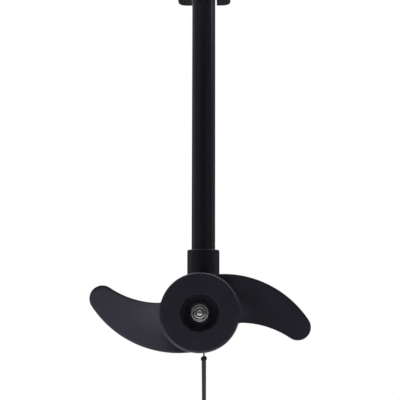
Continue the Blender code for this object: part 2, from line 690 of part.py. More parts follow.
def magnet(name, parent, side, mat):
    """Curved magnet against the inside of the can."""
    middle = 0 if side > 0 else pi
    outer = arc((0, 0), CAN_IN - FIT, middle - MAGNET_HALF, middle + MAGNET_HALF, 14)
    inner = arc((0, 0), MAGNET_IN, middle + MAGNET_HALF, middle - MAGNET_HALF, 14)
    low = CAP_FACE + SPIGOT + RUN
    piece(name, prism(outer + inner, "Y", low, -FRONT_AFT - SPIGOT - RUN), parent, mat)


def brush_gear(parent, plate_mat, carbon, spring_mat):
    """Plate with the front bearing's cup, and a brush with its leaf spring on each side."""
    seat = BEARING_R + FIT
    cup = seat + BRUSH_PLATE_T
    cup_end = PLATE_AFT + BEARING_T + FIT
    edge = SPIGOT_R - SPIGOT_WALL - FIT
    face = PLATE_AFT + BRUSH_PLATE_T
    lid = cup_end + BRUSH_PLATE_T
    hole = DRIVE_R + RUN
    plate = [(seat, PLATE_AFT), (edge, PLATE_AFT), (edge, face), (cup, face), (cup, lid), (hole, lid)]
    plate += [(hole, cup_end), (seat, cup_end)]
    piece("brush_plate", turned(plate, "Y", ROUND), parent, plate_mat)
    near = COMMUTATOR_R + FIT
    far = near + BRUSH_L
    front = PLATE_AFT - FIT
    for side, name in ((-1, "left"), (1, "right")):
        low, high = sorted((side * near, side * far))
        brush = block((low, front - BRUSH_D, -BRUSH_W / 2), (high, front, BRUSH_W / 2))
        piece("brush_" + name, brush, parent, carbon)
        low, high = sorted((side * (far + FIT), side * (far + FIT + SPRING_T)))
        leaf = block((low, front - BRUSH_D, -BRUSH_W / 3), (high, front, BRUSH_W / 3))
        piece("brush_spring_" + name, leaf, parent, spring_mat)


def bearing(name, parent, low, mat):
    piece(name, tube(DRIVE_R + FIT, BEARING_R, "Y", low, low + BEARING_T, ROUND_SMALL), parent, mat)


def shaft_seal(parent, mat):
    low = CAP_END + FIT
    piece("shaft_seal", tube(DRIVE_R + FIT, SEAL_R, "Y", low, low + SEAL_T - FIT, ROUND_SMALL), parent, mat)


def skeg(parent, mat):
    """Fin that slides on the keel's bead."""
    top = -KEEL_DROP - (BEAD_R + FIT + SKEG_BULB_R) / 2
    aft = (KEEL_AFT + FIT, top)
    fore = (KEEL_FORE - FIT, top)
    tip_aft = (SKEG_TIP_AFT, -SKEG_LOW)
    tip_fore = (SKEG_TIP_FORE, -SKEG_LOW)
    outline = [aft] + rounded(aft, tip_aft, tip_fore, SKEG_ROUND)
    outline += rounded(tip_aft, tip_fore, fore, SKEG_ROUND) + [fore]
    fin = piece("skeg", prism(outline, "X", -SKEG_T / 2, SKEG_T / 2), parent, mat)
    middle = (0, 0, -KEEL_DROP)
    join(fin, moved(bar(SKEG_BULB_R, "Y", KEEL_AFT, KEEL_FORE), middle))
    slot = KEEL_T / 2 + FIT
    cut(fin, moved(bar(BEAD_R + FIT, "Y", KEEL_AFT - RUN, KEEL_FORE + RUN), middle),
        block((-slot, KEEL_AFT - RUN, -KEEL_DROP), (slot, KEEL_FORE + RUN, 2 * SKEG_BULB_R - KEEL_DROP)),
        moved(bar(SKEG_PIN_R + FIT, "X", -2 * SKEG_BULB_R, 2 * SKEG_BULB_R, ROUND_TINY), SKEG_PIN_AT))


def rounded(before, corner, after, radius):
    """Points of an arc that rounds one corner of an outline."""
    corner = Vector(corner)
    way_in = (corner - Vector(before)).normalized()
    way_out = (Vector(after) - corner).normalized()
    half = way_in.angle(way_out) / 2
    back = radius * sin(half) / cos(half)
    start = corner - way_in * back
    end = corner + way_out * back
    points = [start.lerp(corner, t / 3).lerp(corner.lerp(end, t / 3), t / 3) for t in range(4)]
    return [tuple(p) for p in points]


# Armature and propeller, which turn together


def drive_shaft(parent, mat):
    """Motor shaft with a threaded end and a cross hole for the drive pin."""
    front = PLATE_AFT + BEARING_T
    shoulder = BOSS_FORE + FIT
    shape = [(0, THREAD_END), (THREAD_R - FIT, THREAD_END), (THREAD_R, THREAD_END + FIT)]
    shape += [(THREAD_R, shoulder), (DRIVE_R, shoulder), (DRIVE_R, front), (0, front)]
    shaft = piece("drive_shaft", turned(shape, "Y", ROUND_SMALL), parent, mat)
    cut(shaft, pin_shape(PIN_R + FIT, 2 * THREAD_R))


def pin_shape(radius, half):
    """Round bar across the drive shaft where the drive pin lies."""
    bm = moved(bar(radius, "X", -half, half, ROUND_TINY), (0, PIN_Y, 0))
    bmesh.ops.rotate(bm, verts=bm.verts, cent=(0, 0, 0), matrix=turn_about_pod(PIN_ANGLE))
    return bm


def turn_about_pod(angle):
    """Turn seen from astern, anticlockwise when positive."""
    return Matrix.Rotation(-angle, 3, "Y")


def armature(parent, iron, copper):
    """Slotted core on the drive shaft, its winding and its commutator."""
    step = 2 * pi / CORE_SLOTS
    open_half = step * CORE_SLOT_SHARE / 2
    floor = CORE_R - CORE_SLOT_DEPTH
    outline = []
    for i in range(CORE_SLOTS):
        start = i * step + open_half
        outline += arc((0, 0), CORE_R, start, start + step - 2 * open_half, 2)
        outline += arc((0, 0), floor, (i + 1) * step - open_half, (i + 1) * step + open_half, 1)
    core = piece("armature_core", prism(outline, "Y", CORE_AFT, CORE_FORE), parent, iron)
    cut(core, bar(DRIVE_R + FIT, "Y", CORE_AFT - RUN, CORE_FORE + RUN))
    bundle = CORE_SLOT_DEPTH / 2
    inner = floor - bundle
    outer = floor + bundle
    end = WINDING_T - FIT
    front_turns = tube(inner, outer, "Y", CORE_FORE + FIT, CORE_FORE + end)
    winding = piece("armature_winding", front_turns, parent, copper)
    join(winding, tube(inner, outer, "Y", CORE_AFT - end, CORE_AFT - FIT))
    width = floor * sin(open_half) - RUN
    for i in range(CORE_SLOTS):
        strand = block((floor + RUN, CORE_AFT - end / 2, -width), (outer - RUN, CORE_FORE + end / 2, width))
        bmesh.ops.rotate(strand, verts=strand.verts, cent=(0, 0, 0), matrix=turn_about_pod((i + 1) * step))
        join(winding, strand)
    high = COMMUTATOR_AFT + COMMUTATOR_LENGTH
    ring = tube(DRIVE_R + FIT, COMMUTATOR_R, "Y", COMMUTATOR_AFT, high, ROUND_SMALL)
    piece("commutator", ring, parent, copper)


def blade_edges():
    """Leading and trailing edges of one blade as (radius, angle) points that meet at the tip."""
    tip = Vector((TIP_CENTRE_R * cos(TIP_ANGLE), TIP_CENTRE_R * sin(TIP_ANGLE)))
    edges = []
    turns = []
    for root, radius, side in ((LEAD_ROOT, LEAD_ARC_R, -1), (TRAIL_ROOT, TRAIL_ARC_R, 1)):
        start = Vector((HUB_R * cos(root), HUB_R * sin(root)))
        centre = meeting(start, radius, tip, radius + side * TIP_R)
        touch = tip + (centre - tip).normalized() * side * TIP_R
        begin = atan2(start.y - centre.y, start.x - centre.x)
        stop = atan2(touch.y - centre.y, touch.x - centre.x)
        edges.append([Vector(p) for p in arc(centre, radius, begin, stop, BLADE_STEPS)])
        turns.append(atan2(touch.y - tip.y, touch.x - tip.x) % (2 * pi))
    apex = sum(turns) / 2
    for edge, turn in zip(edges, turns):
        edge += [Vector(p) for p in arc(tip, TIP_R, turn, apex, TIP_STEPS)[1:]]
    return [[(p.length, atan2(p.y, p.x) % (2 * pi)) for p in edge] for edge in edges]


def blade(turn):
    """One blade of constant pitch with a lens-shaped section."""
    lead, trail = blade_edges()
    sunk = HUB_R - BLADE_SINK
    stations = [((sunk, lead[0][1]), (sunk, trail[0][1]))] + list(zip(lead, trail))
    bm = bmesh.new()
    rows = []
    for n, (front, back) in enumerate(stations):
        thick = BLADE_ROOT_T + (BLADE_TIP_T - BLADE_ROOT_T) * n / (len(stations) - 1)
        row = []
        for j in range(BLADE_ACROSS + 1):
            share = j / BLADE_ACROSS
            radius = front[0] + (back[0] - front[0]) * share
            angle = front[1] + (back[1] - front[1]) * share
            y = HUB_AFT + BLADE_AFT + PROP_PITCH * (angle - TRAIL_ROOT) / (2 * pi)
            half = thick / 2 * sqrt(1 - (2 * share - 1) ** 2)
            x, z = radius * cos(angle + turn), radius * sin(angle + turn)
            row.append((bm.verts.new((x, y + half, z)), bm.verts.new((x, y - half, z))))
        rows.append(row)
    for lower, upper in zip(rows, rows[1:]):
        for j in range(BLADE_ACROSS):
            for k in (0, 1):
                bm.faces.new((lower[j][k], lower[j + 1][k], upper[j + 1][k], upper[j][k]))
    for j in range(BLADE_ACROSS):
        bm.faces.new((rows[0][j][0], rows[0][j + 1][0], rows[0][j + 1][1], rows[0][j][1]))
    bmesh.ops.remove_doubles(bm, verts=bm.verts, dist=MERGE)
    bmesh.ops.recalc_face_normals(bm, faces=bm.faces)
    return bm


def propeller(parent, mat):
    """Hub drum with a dished rear face, a boss on the drive shaft and its blades."""
    bore = THREAD_R + FIT
    inner = HUB_R - HUB_WALL
    back = HUB_AFT + HUB_FACE_T
    floor_back = DISH_FLOOR + BOSS_FLOOR
    edge = (HUB_R - HUB_EDGE, HUB_AFT + HUB_EDGE)
    hub = [(bore, BOSS_FORE), (bore, DISH_FLOOR), (DISH_FLOOR_R, DISH_FLOOR), (DISH_R, HUB_AFT)]
    hub += arc(edge, HUB_EDGE, -pi / 2, 0, 4)
    hub += [(HUB_R, HUB_FORE), (inner, HUB_FORE), (inner, back), (DISH_R + HUB_WALL, back),
            (DISH_FLOOR_R + HUB_WALL, floor_back), (BOSS_R, floor_back), (BOSS_R, BOSS_FORE)]
    prop = piece("propeller", turned(hub, "Y", ROUND_LARGE), parent, mat)
    join(prop, *[blade(2 * pi * i / BLADES) for i in range(BLADES)])
    half = PIN_R + FIT
    slot = block((-PIN_SLOT_HALF, DISH_FLOOR - RUN, -half), (PIN_SLOT_HALF, PIN_Y + half, half))
    bmesh.ops.rotate(slot, verts=slot.verts, cent=(0, 0, 0), matrix=turn_about_pod(PIN_ANGLE))
    cut(prop, slot)


def propeller_hardware(parent, mat):
    """Drive pin, washer and locking nut."""
    piece("drive_pin", pin_shape(PIN_R, PIN_HALF), parent, mat)
    hole = THREAD_R + FIT
    piece("prop_washer", tube(hole, WASHER_R, "Y", WASHER_Y - WASHER_T, WASHER_Y), parent, mat)
    hexagon = prism(arc((0, 0), NUT_R, 0, 2 * pi * 5 / 6, 5), "Y", NUT_Y - NUT_HEX_T, NUT_Y)
    nut = piece("prop_nut", hexagon, parent, mat)
    top = NUT_Y - NUT_HEX_T - NUT_COLLAR_T
    collar = [(0, top), (NUT_COLLAR_R - NUT_COLLAR_T / 2, top), (NUT_COLLAR_R, top + NUT_COLLAR_T / 2),
              (NUT_COLLAR_R, NUT_Y - NUT_HEX_T / 2), (0, NUT_Y - NUT_HEX_T / 2)]
    join(nut, turned(collar, "Y", ROUND_SMALL))
    cut(nut, bar(hole, "Y", top - RUN, NUT_Y + RUN))


# Head


def head_outline(inset):
    """Rounded rectangle of the head, drawn inwards by an inset."""
    points = []
    for k, (sx, sy) in enumerate(((1, 1), (-1, 1), (-1, -1), (1, -1))):
        centre = (sx * (HEAD_HALF_X - HEAD_CORNER), HEAD_FORWARD + sy * (HEAD_HALF_Y - HEAD_CORNER))
        points += arc(centre, HEAD_CORNER - inset, k * pi / 2, (k + 1) * pi / 2, 5)
    return points


def head_base(parent, mat):
    """Open tray on the tube's top with lugs for the tiller and posts for the cover."""
    edge = 2 * HEAD_WALL
    levels = [(edge, 0), (0, edge), (0, HEAD_BASE_H)]
    levels += [(HEAD_WALL, HEAD_BASE_H), (HEAD_WALL, edge), (edge, HEAD_WALL)]
    base = piece("head_base", stacked(head_outline, levels), parent, mat)
    socket_top = HEAD_SOCKET - HEAD_BOSS
    boss = bar(HEAD_BOSS_R, "Z", -HEAD_BOSS, socket_top + HEAD_WALL, ROUND)
    lugs = []
    pivot = (HEAD_FORWARD + HEAD_HALF_Y + PIVOT_OUT, PIVOT_Z)
    root = HEAD_FORWARD + HEAD_HALF_Y - HEAD_WALL / 2
    lug = [(root, PIVOT_Z + LUG_R), (root, PIVOT_Z - LUG_R)]
    lug += arc(pivot, LUG_R, -pi / 2, pi / 2, 8)
    for low in (EYE_HALF + 2 * FIT, -EYE_HALF - 2 * FIT - LUG_T):
        lugs.append(prism(lug, "X", low, low + LUG_T))
    join(base, boss, *lugs)
    for side in (-1, 1):
        post = bar(COVER_POST_R, "Z", HEAD_WALL / 2, post_top())
        join(base, moved(post, cover_screw_place(side)))
    out = EYE_HALF + LUG_T + 3 * FIT
    back = HEAD_FORWARD - HEAD_HALF_Y
    cut(base, bar(TUBE_R + FIT, "Z", -HEAD_BOSS - RUN, socket_top, ROUND),
        bar(TUBE_R - TUBE_WALL, "Z", 0, socket_top + 2 * HEAD_WALL, ROUND),
        moved(bar(PIVOT_PIN_R + FIT, "X", -out, out), (0, *pivot)),
        moved(bar(GLAND_THREAD_R + FIT, "Y", back - HEAD_WALL, back + 2 * HEAD_WALL), (0, 0, GLAND_Z)))
    for side in (-1, 1):
        hole = bar(COVER_SCREW_R + FIT, "Z", post_top() / 2, post_top() + RUN, ROUND_TINY)
        cut(base, moved(hole, cover_screw_place(side)))


def cover_screw_place(side):
    return (0, HEAD_FORWARD + side * COVER_SCREW_Y, 0)


def post_top():
    """Cover posts reach to just under the cover's ceiling."""
    return HEAD_BASE_H + HEAD_COVER_H - HEAD_WALL - COVER_SCREW_HEAD_T - FIT


def head_cover(parent, mat):
    """Domed lid on the head base."""
    low = HEAD_BASE_H + FIT
    top = HEAD_BASE_H + HEAD_COVER_H
    ceiling = top - HEAD_WALL - COVER_SCREW_HEAD_T
    crown = HEAD_COVER_H / 3
    levels = [(2 * HEAD_WALL, ceiling), (HEAD_WALL, low), (0, low), (0, top - 2 * crown)]
    levels += [(crown / 6, top - crown), (crown / 2, top - crown / 3), (crown, top)]
    lid = piece("head_cover", stacked(head_outline, levels), parent, mat)
    for side in (-1, 1):
        place = cover_screw_place(side)
        cut(lid, moved(bar(COVER_SCREW_R + FIT, "Z", ceiling - RUN, top, ROUND_TINY), place),
            moved(bar(COVER_SCREW_HEAD_R + FIT, "Z", top - COVER_SCREW_HEAD_T, top + RUN), place))


def head_hardware(parent, metal, plastic):
    """Cover screws, tiller pivot pin and the gland for the battery cable."""
    top = HEAD_BASE_H + HEAD_COVER_H
    under = top - COVER_SCREW_HEAD_T + FIT
    tip = post_top() / 2 + RUN
    screw = [(0, tip), (COVER_SCREW_R, tip), (COVER_SCREW_R, under), (COVER_SCREW_HEAD_R, under)]
    screw += [(COVER_SCREW_HEAD_R, top), (0, top)]
    for side, name in ((-1, "aft"), (1, "fore")):
        solid = turned(screw, "Z", ROUND_TINY)
        piece("cover_screw_" + name, moved(solid, cover_screw_place(side)), parent, metal)
    out = EYE_HALF + LUG_T + 3 * FIT
    far = out + PIVOT_HEAD_T
    pin = [(0, -far), (PIVOT_HEAD_R, -far), (PIVOT_HEAD_R, -out)]
    pin += [(PIVOT_PIN_R, -out), (PIVOT_PIN_R, out), (0, out)]
    pivot = (0, HEAD_FORWARD + HEAD_HALF_Y + PIVOT_OUT, PIVOT_Z)
    piece("tiller_pivot_pin", moved(turned(pin, "X", ROUND_SMALL), pivot), parent, metal)
    back = HEAD_FORWARD - HEAD_HALF_Y
    inside = back + 2 * HEAD_WALL
    outside = back - FIT
    mouth = back - GLAND_OUT
    gland = [(GLAND_HOLE_R, inside), (GLAND_THREAD_R, inside), (GLAND_THREAD_R, outside), (GLAND_R, outside)]
    gland += [(GLAND_R, (outside + mouth) / 2), (GLAND_THREAD_R, mouth), (GLAND_HOLE_R, mouth)]
    piece("cable_gland", moved(turned(gland, "Y", ROUND_SMALL), (0, 0, GLAND_Z)), parent, plastic)


# Tiller, drawn from its pivot along +Y


def tiller_arm(parent, mat):
    arm = piece("tiller_arm", bar(ARM_R, "Y", 0, ARM_LENGTH, ROUND), parent, mat)
    join(arm, bar(EYE_R, "X", -EYE_HALF, EYE_HALF, ROUND))
    cut(arm, bar(EXTENSION_R + RUN, "Y", ARM_FLOOR, ARM_LENGTH + RUN, ROUND),
        bar(PIVOT_PIN_R + RUN, "X", -2 * EYE_HALF, 2 * EYE_HALF))


def speed_switch(parent, mat):
    """Rotary switch at the bottom of the arm's bore."""
    low = ARM_FLOOR + FIT
    case = tube(ROD_SIDE / 2 + RUN, EXTENSION_R + RUN - FIT, "Y", low, low + SWITCH_LENGTH)
    piece("speed_switch", case, parent, mat)


def switch_rotor(parent, mat):
    """Square rod that the grip turns, with a round end inside the switch."""
    face = ARM_FLOOR + SWITCH_LENGTH + 2 * FIT
    half = ROD_SIDE / 2
    end = ARM_LENGTH + GRIP_START + GRIP_IN - ROD_SIDE
    rod = piece("switch_rotor", block((-half, face, -half), (half, end, half)), parent, mat)
    join(rod, bar(half, "Y", face - SWITCH_LENGTH / 2, face + half))


def tiller_extension(parent, mat):
    low = ARM_LENGTH - EXTENSION_IN
    high = ARM_LENGTH + GRIP_START + GRIP_IN
    piece("tiller_extension", tube(EXTENSION_R - EXTENSION_WALL, EXTENSION_R, "Y", low, high), parent, mat)


def twist_grip(parent, plastic, rubber):
    """Grip core with a square socket tube for the switch rod, and its rubber sleeve."""
    start = ARM_LENGTH + GRIP_START
    end = start + GRIP_LENGTH
    wall = start + GRIP_IN + FIT
    bore = EXTENSION_R + RUN
    outer = bore + GRIP_WALL
    socket = (ROD_SIDE / 2 + RUN) * sqrt(2) + SOCKET_TUBE_WALL
    mouth = start + ROD_SIDE
    core = [(0, mouth), (socket, mouth), (socket, wall), (bore, wall), (bore, start), (outer, start),
            (outer, end - GRIP_END / 2), (outer - GRIP_END / 2, end), (0, end)]
    grip = piece("twist_grip", turned(core, "Y", ROUND), parent, plastic)
    half = ROD_SIDE / 2 + RUN
    cut(grip, block((-half, mouth - RUN, -half), (half, wall, half)))
    low = outer + FIT
    high = low + SLEEVE_T
    step = (GRIP_LENGTH - GRIP_END) / SLEEVE_RIBS
    ribs = [(low, start)]
    for i in range(SLEEVE_RIBS):
        foot = start + i * step
        ribs += [(high - SLEEVE_RIB, foot), (high, foot + step / 2)]
    last = start + SLEEVE_RIBS * step
    ribs += [(high - SLEEVE_RIB, last), (low, last)]
    piece("grip_sleeve", turned(ribs, "Y", ROUND), parent, rubber)


def build():
    clear_scene()
    satin = look("satin_black_plastic", (0.018, 0.018, 0.020), 0.42)
    gloss = look("gloss_black_tube", (0.012, 0.012, 0.013), 0.15)
    paint = look("black_paint", (0.020, 0.020, 0.022), 0.35)
    enamel = look("black_enamel", (0.020, 0.020, 0.022), 0.30)
    rubber = look("black_rubber", (0.022, 0.022, 0.022), 0.75)
    nylon = look("dark_nylon", (0.030, 0.030, 0.032), 0.55)
    steel = look("stainless_steel", (0.62, 0.62, 0.63), 0.25, 1.0)
    iron = look("motor_iron", (0.20, 0.20, 0.21), 0.5, 1.0)
    ceramic = look("ceramic_magnet", (0.06, 0.06, 0.065), 0.7)
    copper = look("copper", (0.72, 0.38, 0.22), 0.35, 1.0)
    carbon = look("carbon", (0.03, 0.03, 0.03), 0.8)
    red = look("red_insulation", (0.45, 0.03, 0.03), 0.5)

    bracket = frame("bracket", None, (0, 0, 0))
    clamp_bracket(bracket, paint)
    bracket_hardware(bracket, steel)
    clamp_screw(bracket, "left", -1, steel, satin)
    clamp_screw(bracket, "right", 1, steel, satin)

    tilt = frame("tilt_axis", bracket, (0, HINGE_Y, HINGE_Z))
    swivel = frame("swivel", tilt, (0, -SHAFT_OFFSET, 0))
    swivel_housing(swivel, paint)
    bush("upper_bush", swivel, SWIVEL_ABOVE, -1, nylon)
    bush("lower_bush", swivel, NOTCH_H - SWIVEL_BELOW, 1, nylon)
    stud_knob("tension_knob", swivel, (TUBE_R + FIT, 0, -TENSION_DROP), "+X", SWIVEL_WAIST_R - TUBE_R, satin)

    steer = frame("steer_axis", swivel, (0, 0, 0))
    depth_collar(steer, satin)
    lock = (0, -TUBE_R - FIT, COLLAR_LOW + COLLAR_H / 2)
    stud_knob("collar_knob", steer, lock, "-Y", COLLAR_WALL + FIT, satin)

    shaft = frame("shaft", steer, (0, 0, 0))
    shaft_tube(shaft, gloss)
    leads(shaft, rubber, red, rubber)
    motor = frame("motor", shaft, (0, 0, -POD_DROP))
    front_housing(motor, paint)
    tower_hardware(motor, steel)
    motor_can(motor, enamel)
    rear_cap(motor, paint)
    sealing_ring("front_sealing_ring", motor, -FRONT_AFT, -1, rubber)
    sealing_ring("rear_sealing_ring", motor, CAP_FACE, 1, rubber)
    through_bolt("through_bolt_upper", motor, 1, steel)
    through_bolt("through_bolt_lower", motor, -1, steel)
    magnet("magnet_left", motor, -1, ceramic)
    magnet("magnet_right", motor, 1, ceramic)
    brush_gear(motor, nylon, carbon, steel)
    bearing("front_bearing", motor, PLATE_AFT, steel)
    bearing("rear_bearing", motor, CAP_FACE - BEARING_T, steel)
    shaft_seal(motor, rubber)
    skeg(motor, satin)

    spin = frame("propeller_axis", motor, (0, 0, 0))
    drive_shaft(spin, steel)
    armature(spin, iron, copper)
    propeller(spin, satin)
    propeller_hardware(spin, steel)

    head = frame("head", shaft, (0, 0, HEAD_LOW + HEAD_BOSS))
    head_base(head, satin)
    head_cover(head, satin)
    head_hardware(head, steel, nylon)

    pivot = frame("tiller_axis", head, (0, HEAD_FORWARD + HEAD_HALF_Y + PIVOT_OUT, PIVOT_Z))
    tiller_arm(pivot, satin)
    speed_switch(pivot, nylon)
    switch_rotor(pivot, steel)
    tiller_extension(pivot, steel)
    twist_grip(pivot, nylon, rubber)


build()
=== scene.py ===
import json
from math import atan2, cos, pi, radians, sin, sqrt, tan

import bmesh
import bpy
from mathutils import Matrix, Vector


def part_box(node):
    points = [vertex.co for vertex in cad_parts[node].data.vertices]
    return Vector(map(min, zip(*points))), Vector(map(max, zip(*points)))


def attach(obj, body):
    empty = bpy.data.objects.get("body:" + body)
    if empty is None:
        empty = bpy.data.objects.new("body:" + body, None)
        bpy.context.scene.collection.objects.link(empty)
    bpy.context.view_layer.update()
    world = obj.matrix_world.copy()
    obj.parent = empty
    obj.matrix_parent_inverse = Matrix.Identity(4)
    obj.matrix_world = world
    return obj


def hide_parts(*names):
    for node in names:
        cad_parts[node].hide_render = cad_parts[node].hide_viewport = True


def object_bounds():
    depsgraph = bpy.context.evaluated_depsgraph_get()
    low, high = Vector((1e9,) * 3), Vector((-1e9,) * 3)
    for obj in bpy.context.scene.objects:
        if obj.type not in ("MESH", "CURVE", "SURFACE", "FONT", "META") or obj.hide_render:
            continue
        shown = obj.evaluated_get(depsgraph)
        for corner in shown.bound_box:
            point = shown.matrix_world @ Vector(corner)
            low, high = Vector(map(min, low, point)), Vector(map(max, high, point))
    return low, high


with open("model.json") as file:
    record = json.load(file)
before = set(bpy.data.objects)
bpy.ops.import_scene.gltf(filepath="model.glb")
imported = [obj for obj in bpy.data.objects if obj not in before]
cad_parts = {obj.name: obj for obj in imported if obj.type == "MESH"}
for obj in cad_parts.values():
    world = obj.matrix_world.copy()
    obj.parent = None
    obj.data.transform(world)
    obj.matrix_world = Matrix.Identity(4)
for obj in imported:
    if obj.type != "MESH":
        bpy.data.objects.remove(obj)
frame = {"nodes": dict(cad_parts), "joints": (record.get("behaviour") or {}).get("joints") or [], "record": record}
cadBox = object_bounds()
joints = {joint["name"]: joint for joint in frame["joints"]}
shaftLine = Vector(joints["steer"]["pos_m"])        # upright axis of the shaft
podLine = Vector(joints["prop_spin"]["pos_m"])      # fore-and-aft axis of the pod
tiltLine = Vector(joints["tilt"]["pos_m"])          # athwart axis of the tilt hinge
tillerLine = Vector(joints["tiller_fold"]["pos_m"])  # athwart axis of the tiller's pivot
print("frame loaded:", len(frame["nodes"]), "nodes")

# Mesh helpers, with the gap between pieces that fit and how far a cut runs past what it opens
meshing = {"large": 128, "medium": 96, "small": 48, "merge": 1e-6, "smoothAngle": 35, "cornerShare": 0.49, "level": 0.999}
clearance, past, wellPast = 0.0003, 0.001, 0.01
axisVectors = {"X": Vector((1, 0, 0)), "Y": Vector((0, 1, 0)), "Z": Vector((0, 0, 1))}


def alongAxis(axis, across, along, turn):
    # a point at a distance from an axis, a height along it and a turn round it
    a, b = across * cos(turn), across * sin(turn)
    return Vector({"X": (along, a, b), "Y": (a, along, b), "Z": (a, b, along)}[axis])


def lineBase(axis, line):
    # the part of a point on an axis line that lies across that axis
    return line - axisVectors[axis] * line.dot(axisVectors[axis])


def acrossAxis(axis, point):
    return [point[i] for i in range(3) if "XYZ"[i] != axis]


def softCorners(points, loop=False, steps=5):
    # corners are (across, along) or (across, along, rounding)
    out = []
    last, share = len(points) - 1, meshing["cornerShare"]
    for i, point in enumerate(points):
        corner = Vector(point[:2])
        if len(point) < 3 or (not loop and i in (0, last)):
            out.append(corner)
            continue
        before = Vector(points[i - 1][:2])
        after = Vector(points[(i + 1) % len(points)][:2])
        wayIn, wayOut = corner - before, after - corner
        half = wayIn.angle(wayOut) / 2
        back = min(point[2] * tan(half), wayIn.length * share, wayOut.length * share)
        start = corner - wayIn.normalized() * back
        end = corner + wayOut.normalized() * back
        for step in range(steps + 1):
            t = step / steps
            out.append(start.lerp(corner, t).lerp(corner.lerp(end, t), t))
    return out


def arcPoints(centre, radius, start, end, steps):
    turns = [start + (end - start) * i / steps for i in range(steps + 1)]
    return [Vector((centre[0] + radius * cos(a), centre[1] + radius * sin(a))) for a in turns]


def turnedShape(section, axis, line, detail="small", soft=5):
    # a section off the axis closes on itself, one that starts on it ends in flat discs or points
    bm = bmesh.new()
    base, near, steps = lineBase(axis, line), meshing["merge"], meshing[detail]
    closed = section[0][0] > near
    if soft:
        section = softCorners(section, closed, soft)
    level = [section[i][0] < near and abs(section[i][1] - section[j][1]) < near for i, j in ((0, 1), (-1, -2))]
    points = section[1 if level[0] else 0:len(section) - 1 if level[1] else len(section)]
    rings = []
    for across, along in points:
        count = steps if across > near else 1
        ring = [base + alongAxis(axis, across, along, 2 * pi * i / steps) for i in range(count)]
        rings.append([bm.verts.new(point) for point in ring])
    pairs = list(zip(rings, rings[1:]))
    if closed:
        pairs.append((rings[-1], rings[0]))
    for lower, upper in pairs:
        for i in range(steps):
            j = (i + 1) % steps
            corners = [lower[i % len(lower)], lower[j % len(lower)], upper[j % len(upper)], upper[i % len(upper)]]
            corners = list(dict.fromkeys(corners))
            if len(corners) > 2:
                bm.faces.new(corners)
    for ring, flat in zip((rings[0], rings[-1]), level):
        if flat:
            bm.faces.new(ring)
    bmesh.ops.recalc_face_normals(bm, faces=bm.faces)
    return bm


def pipe(inner, outer, low, high, edge):
    # the section of a plain tube
    return [(inner, low), (outer, low, edge), (outer, high, edge), (inner, high)]


def rod(radius, axis, line, low, high, detail="small", edge=0.0):
    return turnedShape([(0, low), (radius, low, edge), (radius, high, edge), (0, high)], axis, line, detail, soft=3)


def slab(outline, axis, low, high, edge=0.0, steps=3):
    # a flat outline across an axis, with its two rims rounded
    bm = bmesh.new()
    lift = {"X": lambda p: (low, p[0], p[1]), "Y": lambda p: (p[0], low, p[1]), "Z": lambda p: (p[0], p[1], low)}
    face = bm.faces.new([bm.verts.new(lift[axis](p)) for p in outline])
    grown = bmesh.ops.extrude_face_region(bm, geom=[face])["geom"]
    top = [item for item in grown if isinstance(item, bmesh.types.BMVert)]
    bmesh.ops.translate(bm, verts=top, vec=axisVectors[axis] * (high - low))
    bmesh.ops.recalc_face_normals(bm, faces=bm.faces)
    if edge:
        caps = [f for f in bm.faces if abs(f.normal.dot(axisVectors[axis])) > meshing["level"]]
        rims = list({e for f in caps for e in f.edges})
        bmesh.ops.bevel(bm, geom=rims, offset=edge, segments=steps, profile=0.5, affect="EDGES", clamp_overlap=True)
    return bm


def brick(low, high, edge=0.0):
    outline = [(low[0], low[1]), (high[0], low[1]), (high[0], high[1]), (low[0], high[1])]
    return slab(outline, "Z", low[2], high[2], edge)


def stackedShape(outline, levels, soft=6):
    # loops of one outline at (inset, height) levels, closed at both ends
    bm = bmesh.new()
    levels = softCorners(levels, steps=soft)
    loops = [[bm.verts.new((p[0], p[1], height)) for p in outline(inset)] for inset, height in levels]
    for lower, upper in zip(loops, loops[1:]):
        for i in range(len(lower)):
            bm.faces.new((lower[i - 1], lower[i], upper[i], upper[i - 1]))
    bm.faces.new(loops[0])
    bm.faces.new(loops[-1])
    bmesh.ops.recalc_face_normals(bm, faces=bm.faces)
    return bm


def lobedOutline(radius, depth, lobes, centre, steps=20):
    points = []
    for i in range(lobes * steps):
        turn = 2 * pi * i / (lobes * steps)
        reach = radius - depth * (1 - cos(lobes * turn)) / 2
        points.append((centre[0] + reach * cos(turn), centre[1] + reach * sin(turn)))
    return points


def rawObject(name, bm):
    mesh = bpy.data.meshes.new(name)
    bm.to_mesh(mesh)
    bm.free()
    obj = bpy.data.objects.new(name, mesh)
    bpy.context.scene.collection.objects.link(obj)
    return obj


def settle(obj):
    # what the modifiers make becomes the plain mesh
    graph = bpy.context.evaluated_depsgraph_get()
    made = bpy.data.meshes.new_from_object(obj.evaluated_get(graph), depsgraph=graph)
    obj.modifiers.clear()
    obj.data = made
    return obj


def solidSum(name, base, joins=(), cuts=(), firstCuts=(), keeps=()):
    # Booleans in this order: first cuts, joins, what is kept, cuts
    obj = rawObject(name, base)
    helpers = []
    for operation, shapes in (("DIFFERENCE", firstCuts), ("UNION", joins), ("INTERSECT", keeps), ("DIFFERENCE", cuts)):
        for bm in shapes:
            helpers.append(rawObject(name + "Helper", bm))
            step = obj.modifiers.new(operation, "BOOLEAN")
            step.operation, step.solver, step.object = operation, "EXACT", helpers[-1]
    settle(obj)
    for helper in helpers:
        bpy.data.objects.remove(helper, do_unlink=True)
    return obj


def takeMesh(obj):
    # the object goes, its mesh is worked on
    bm = bmesh.new()
    bm.from_mesh(obj.data)
    bpy.data.objects.remove(obj, do_unlink=True)
    return bm


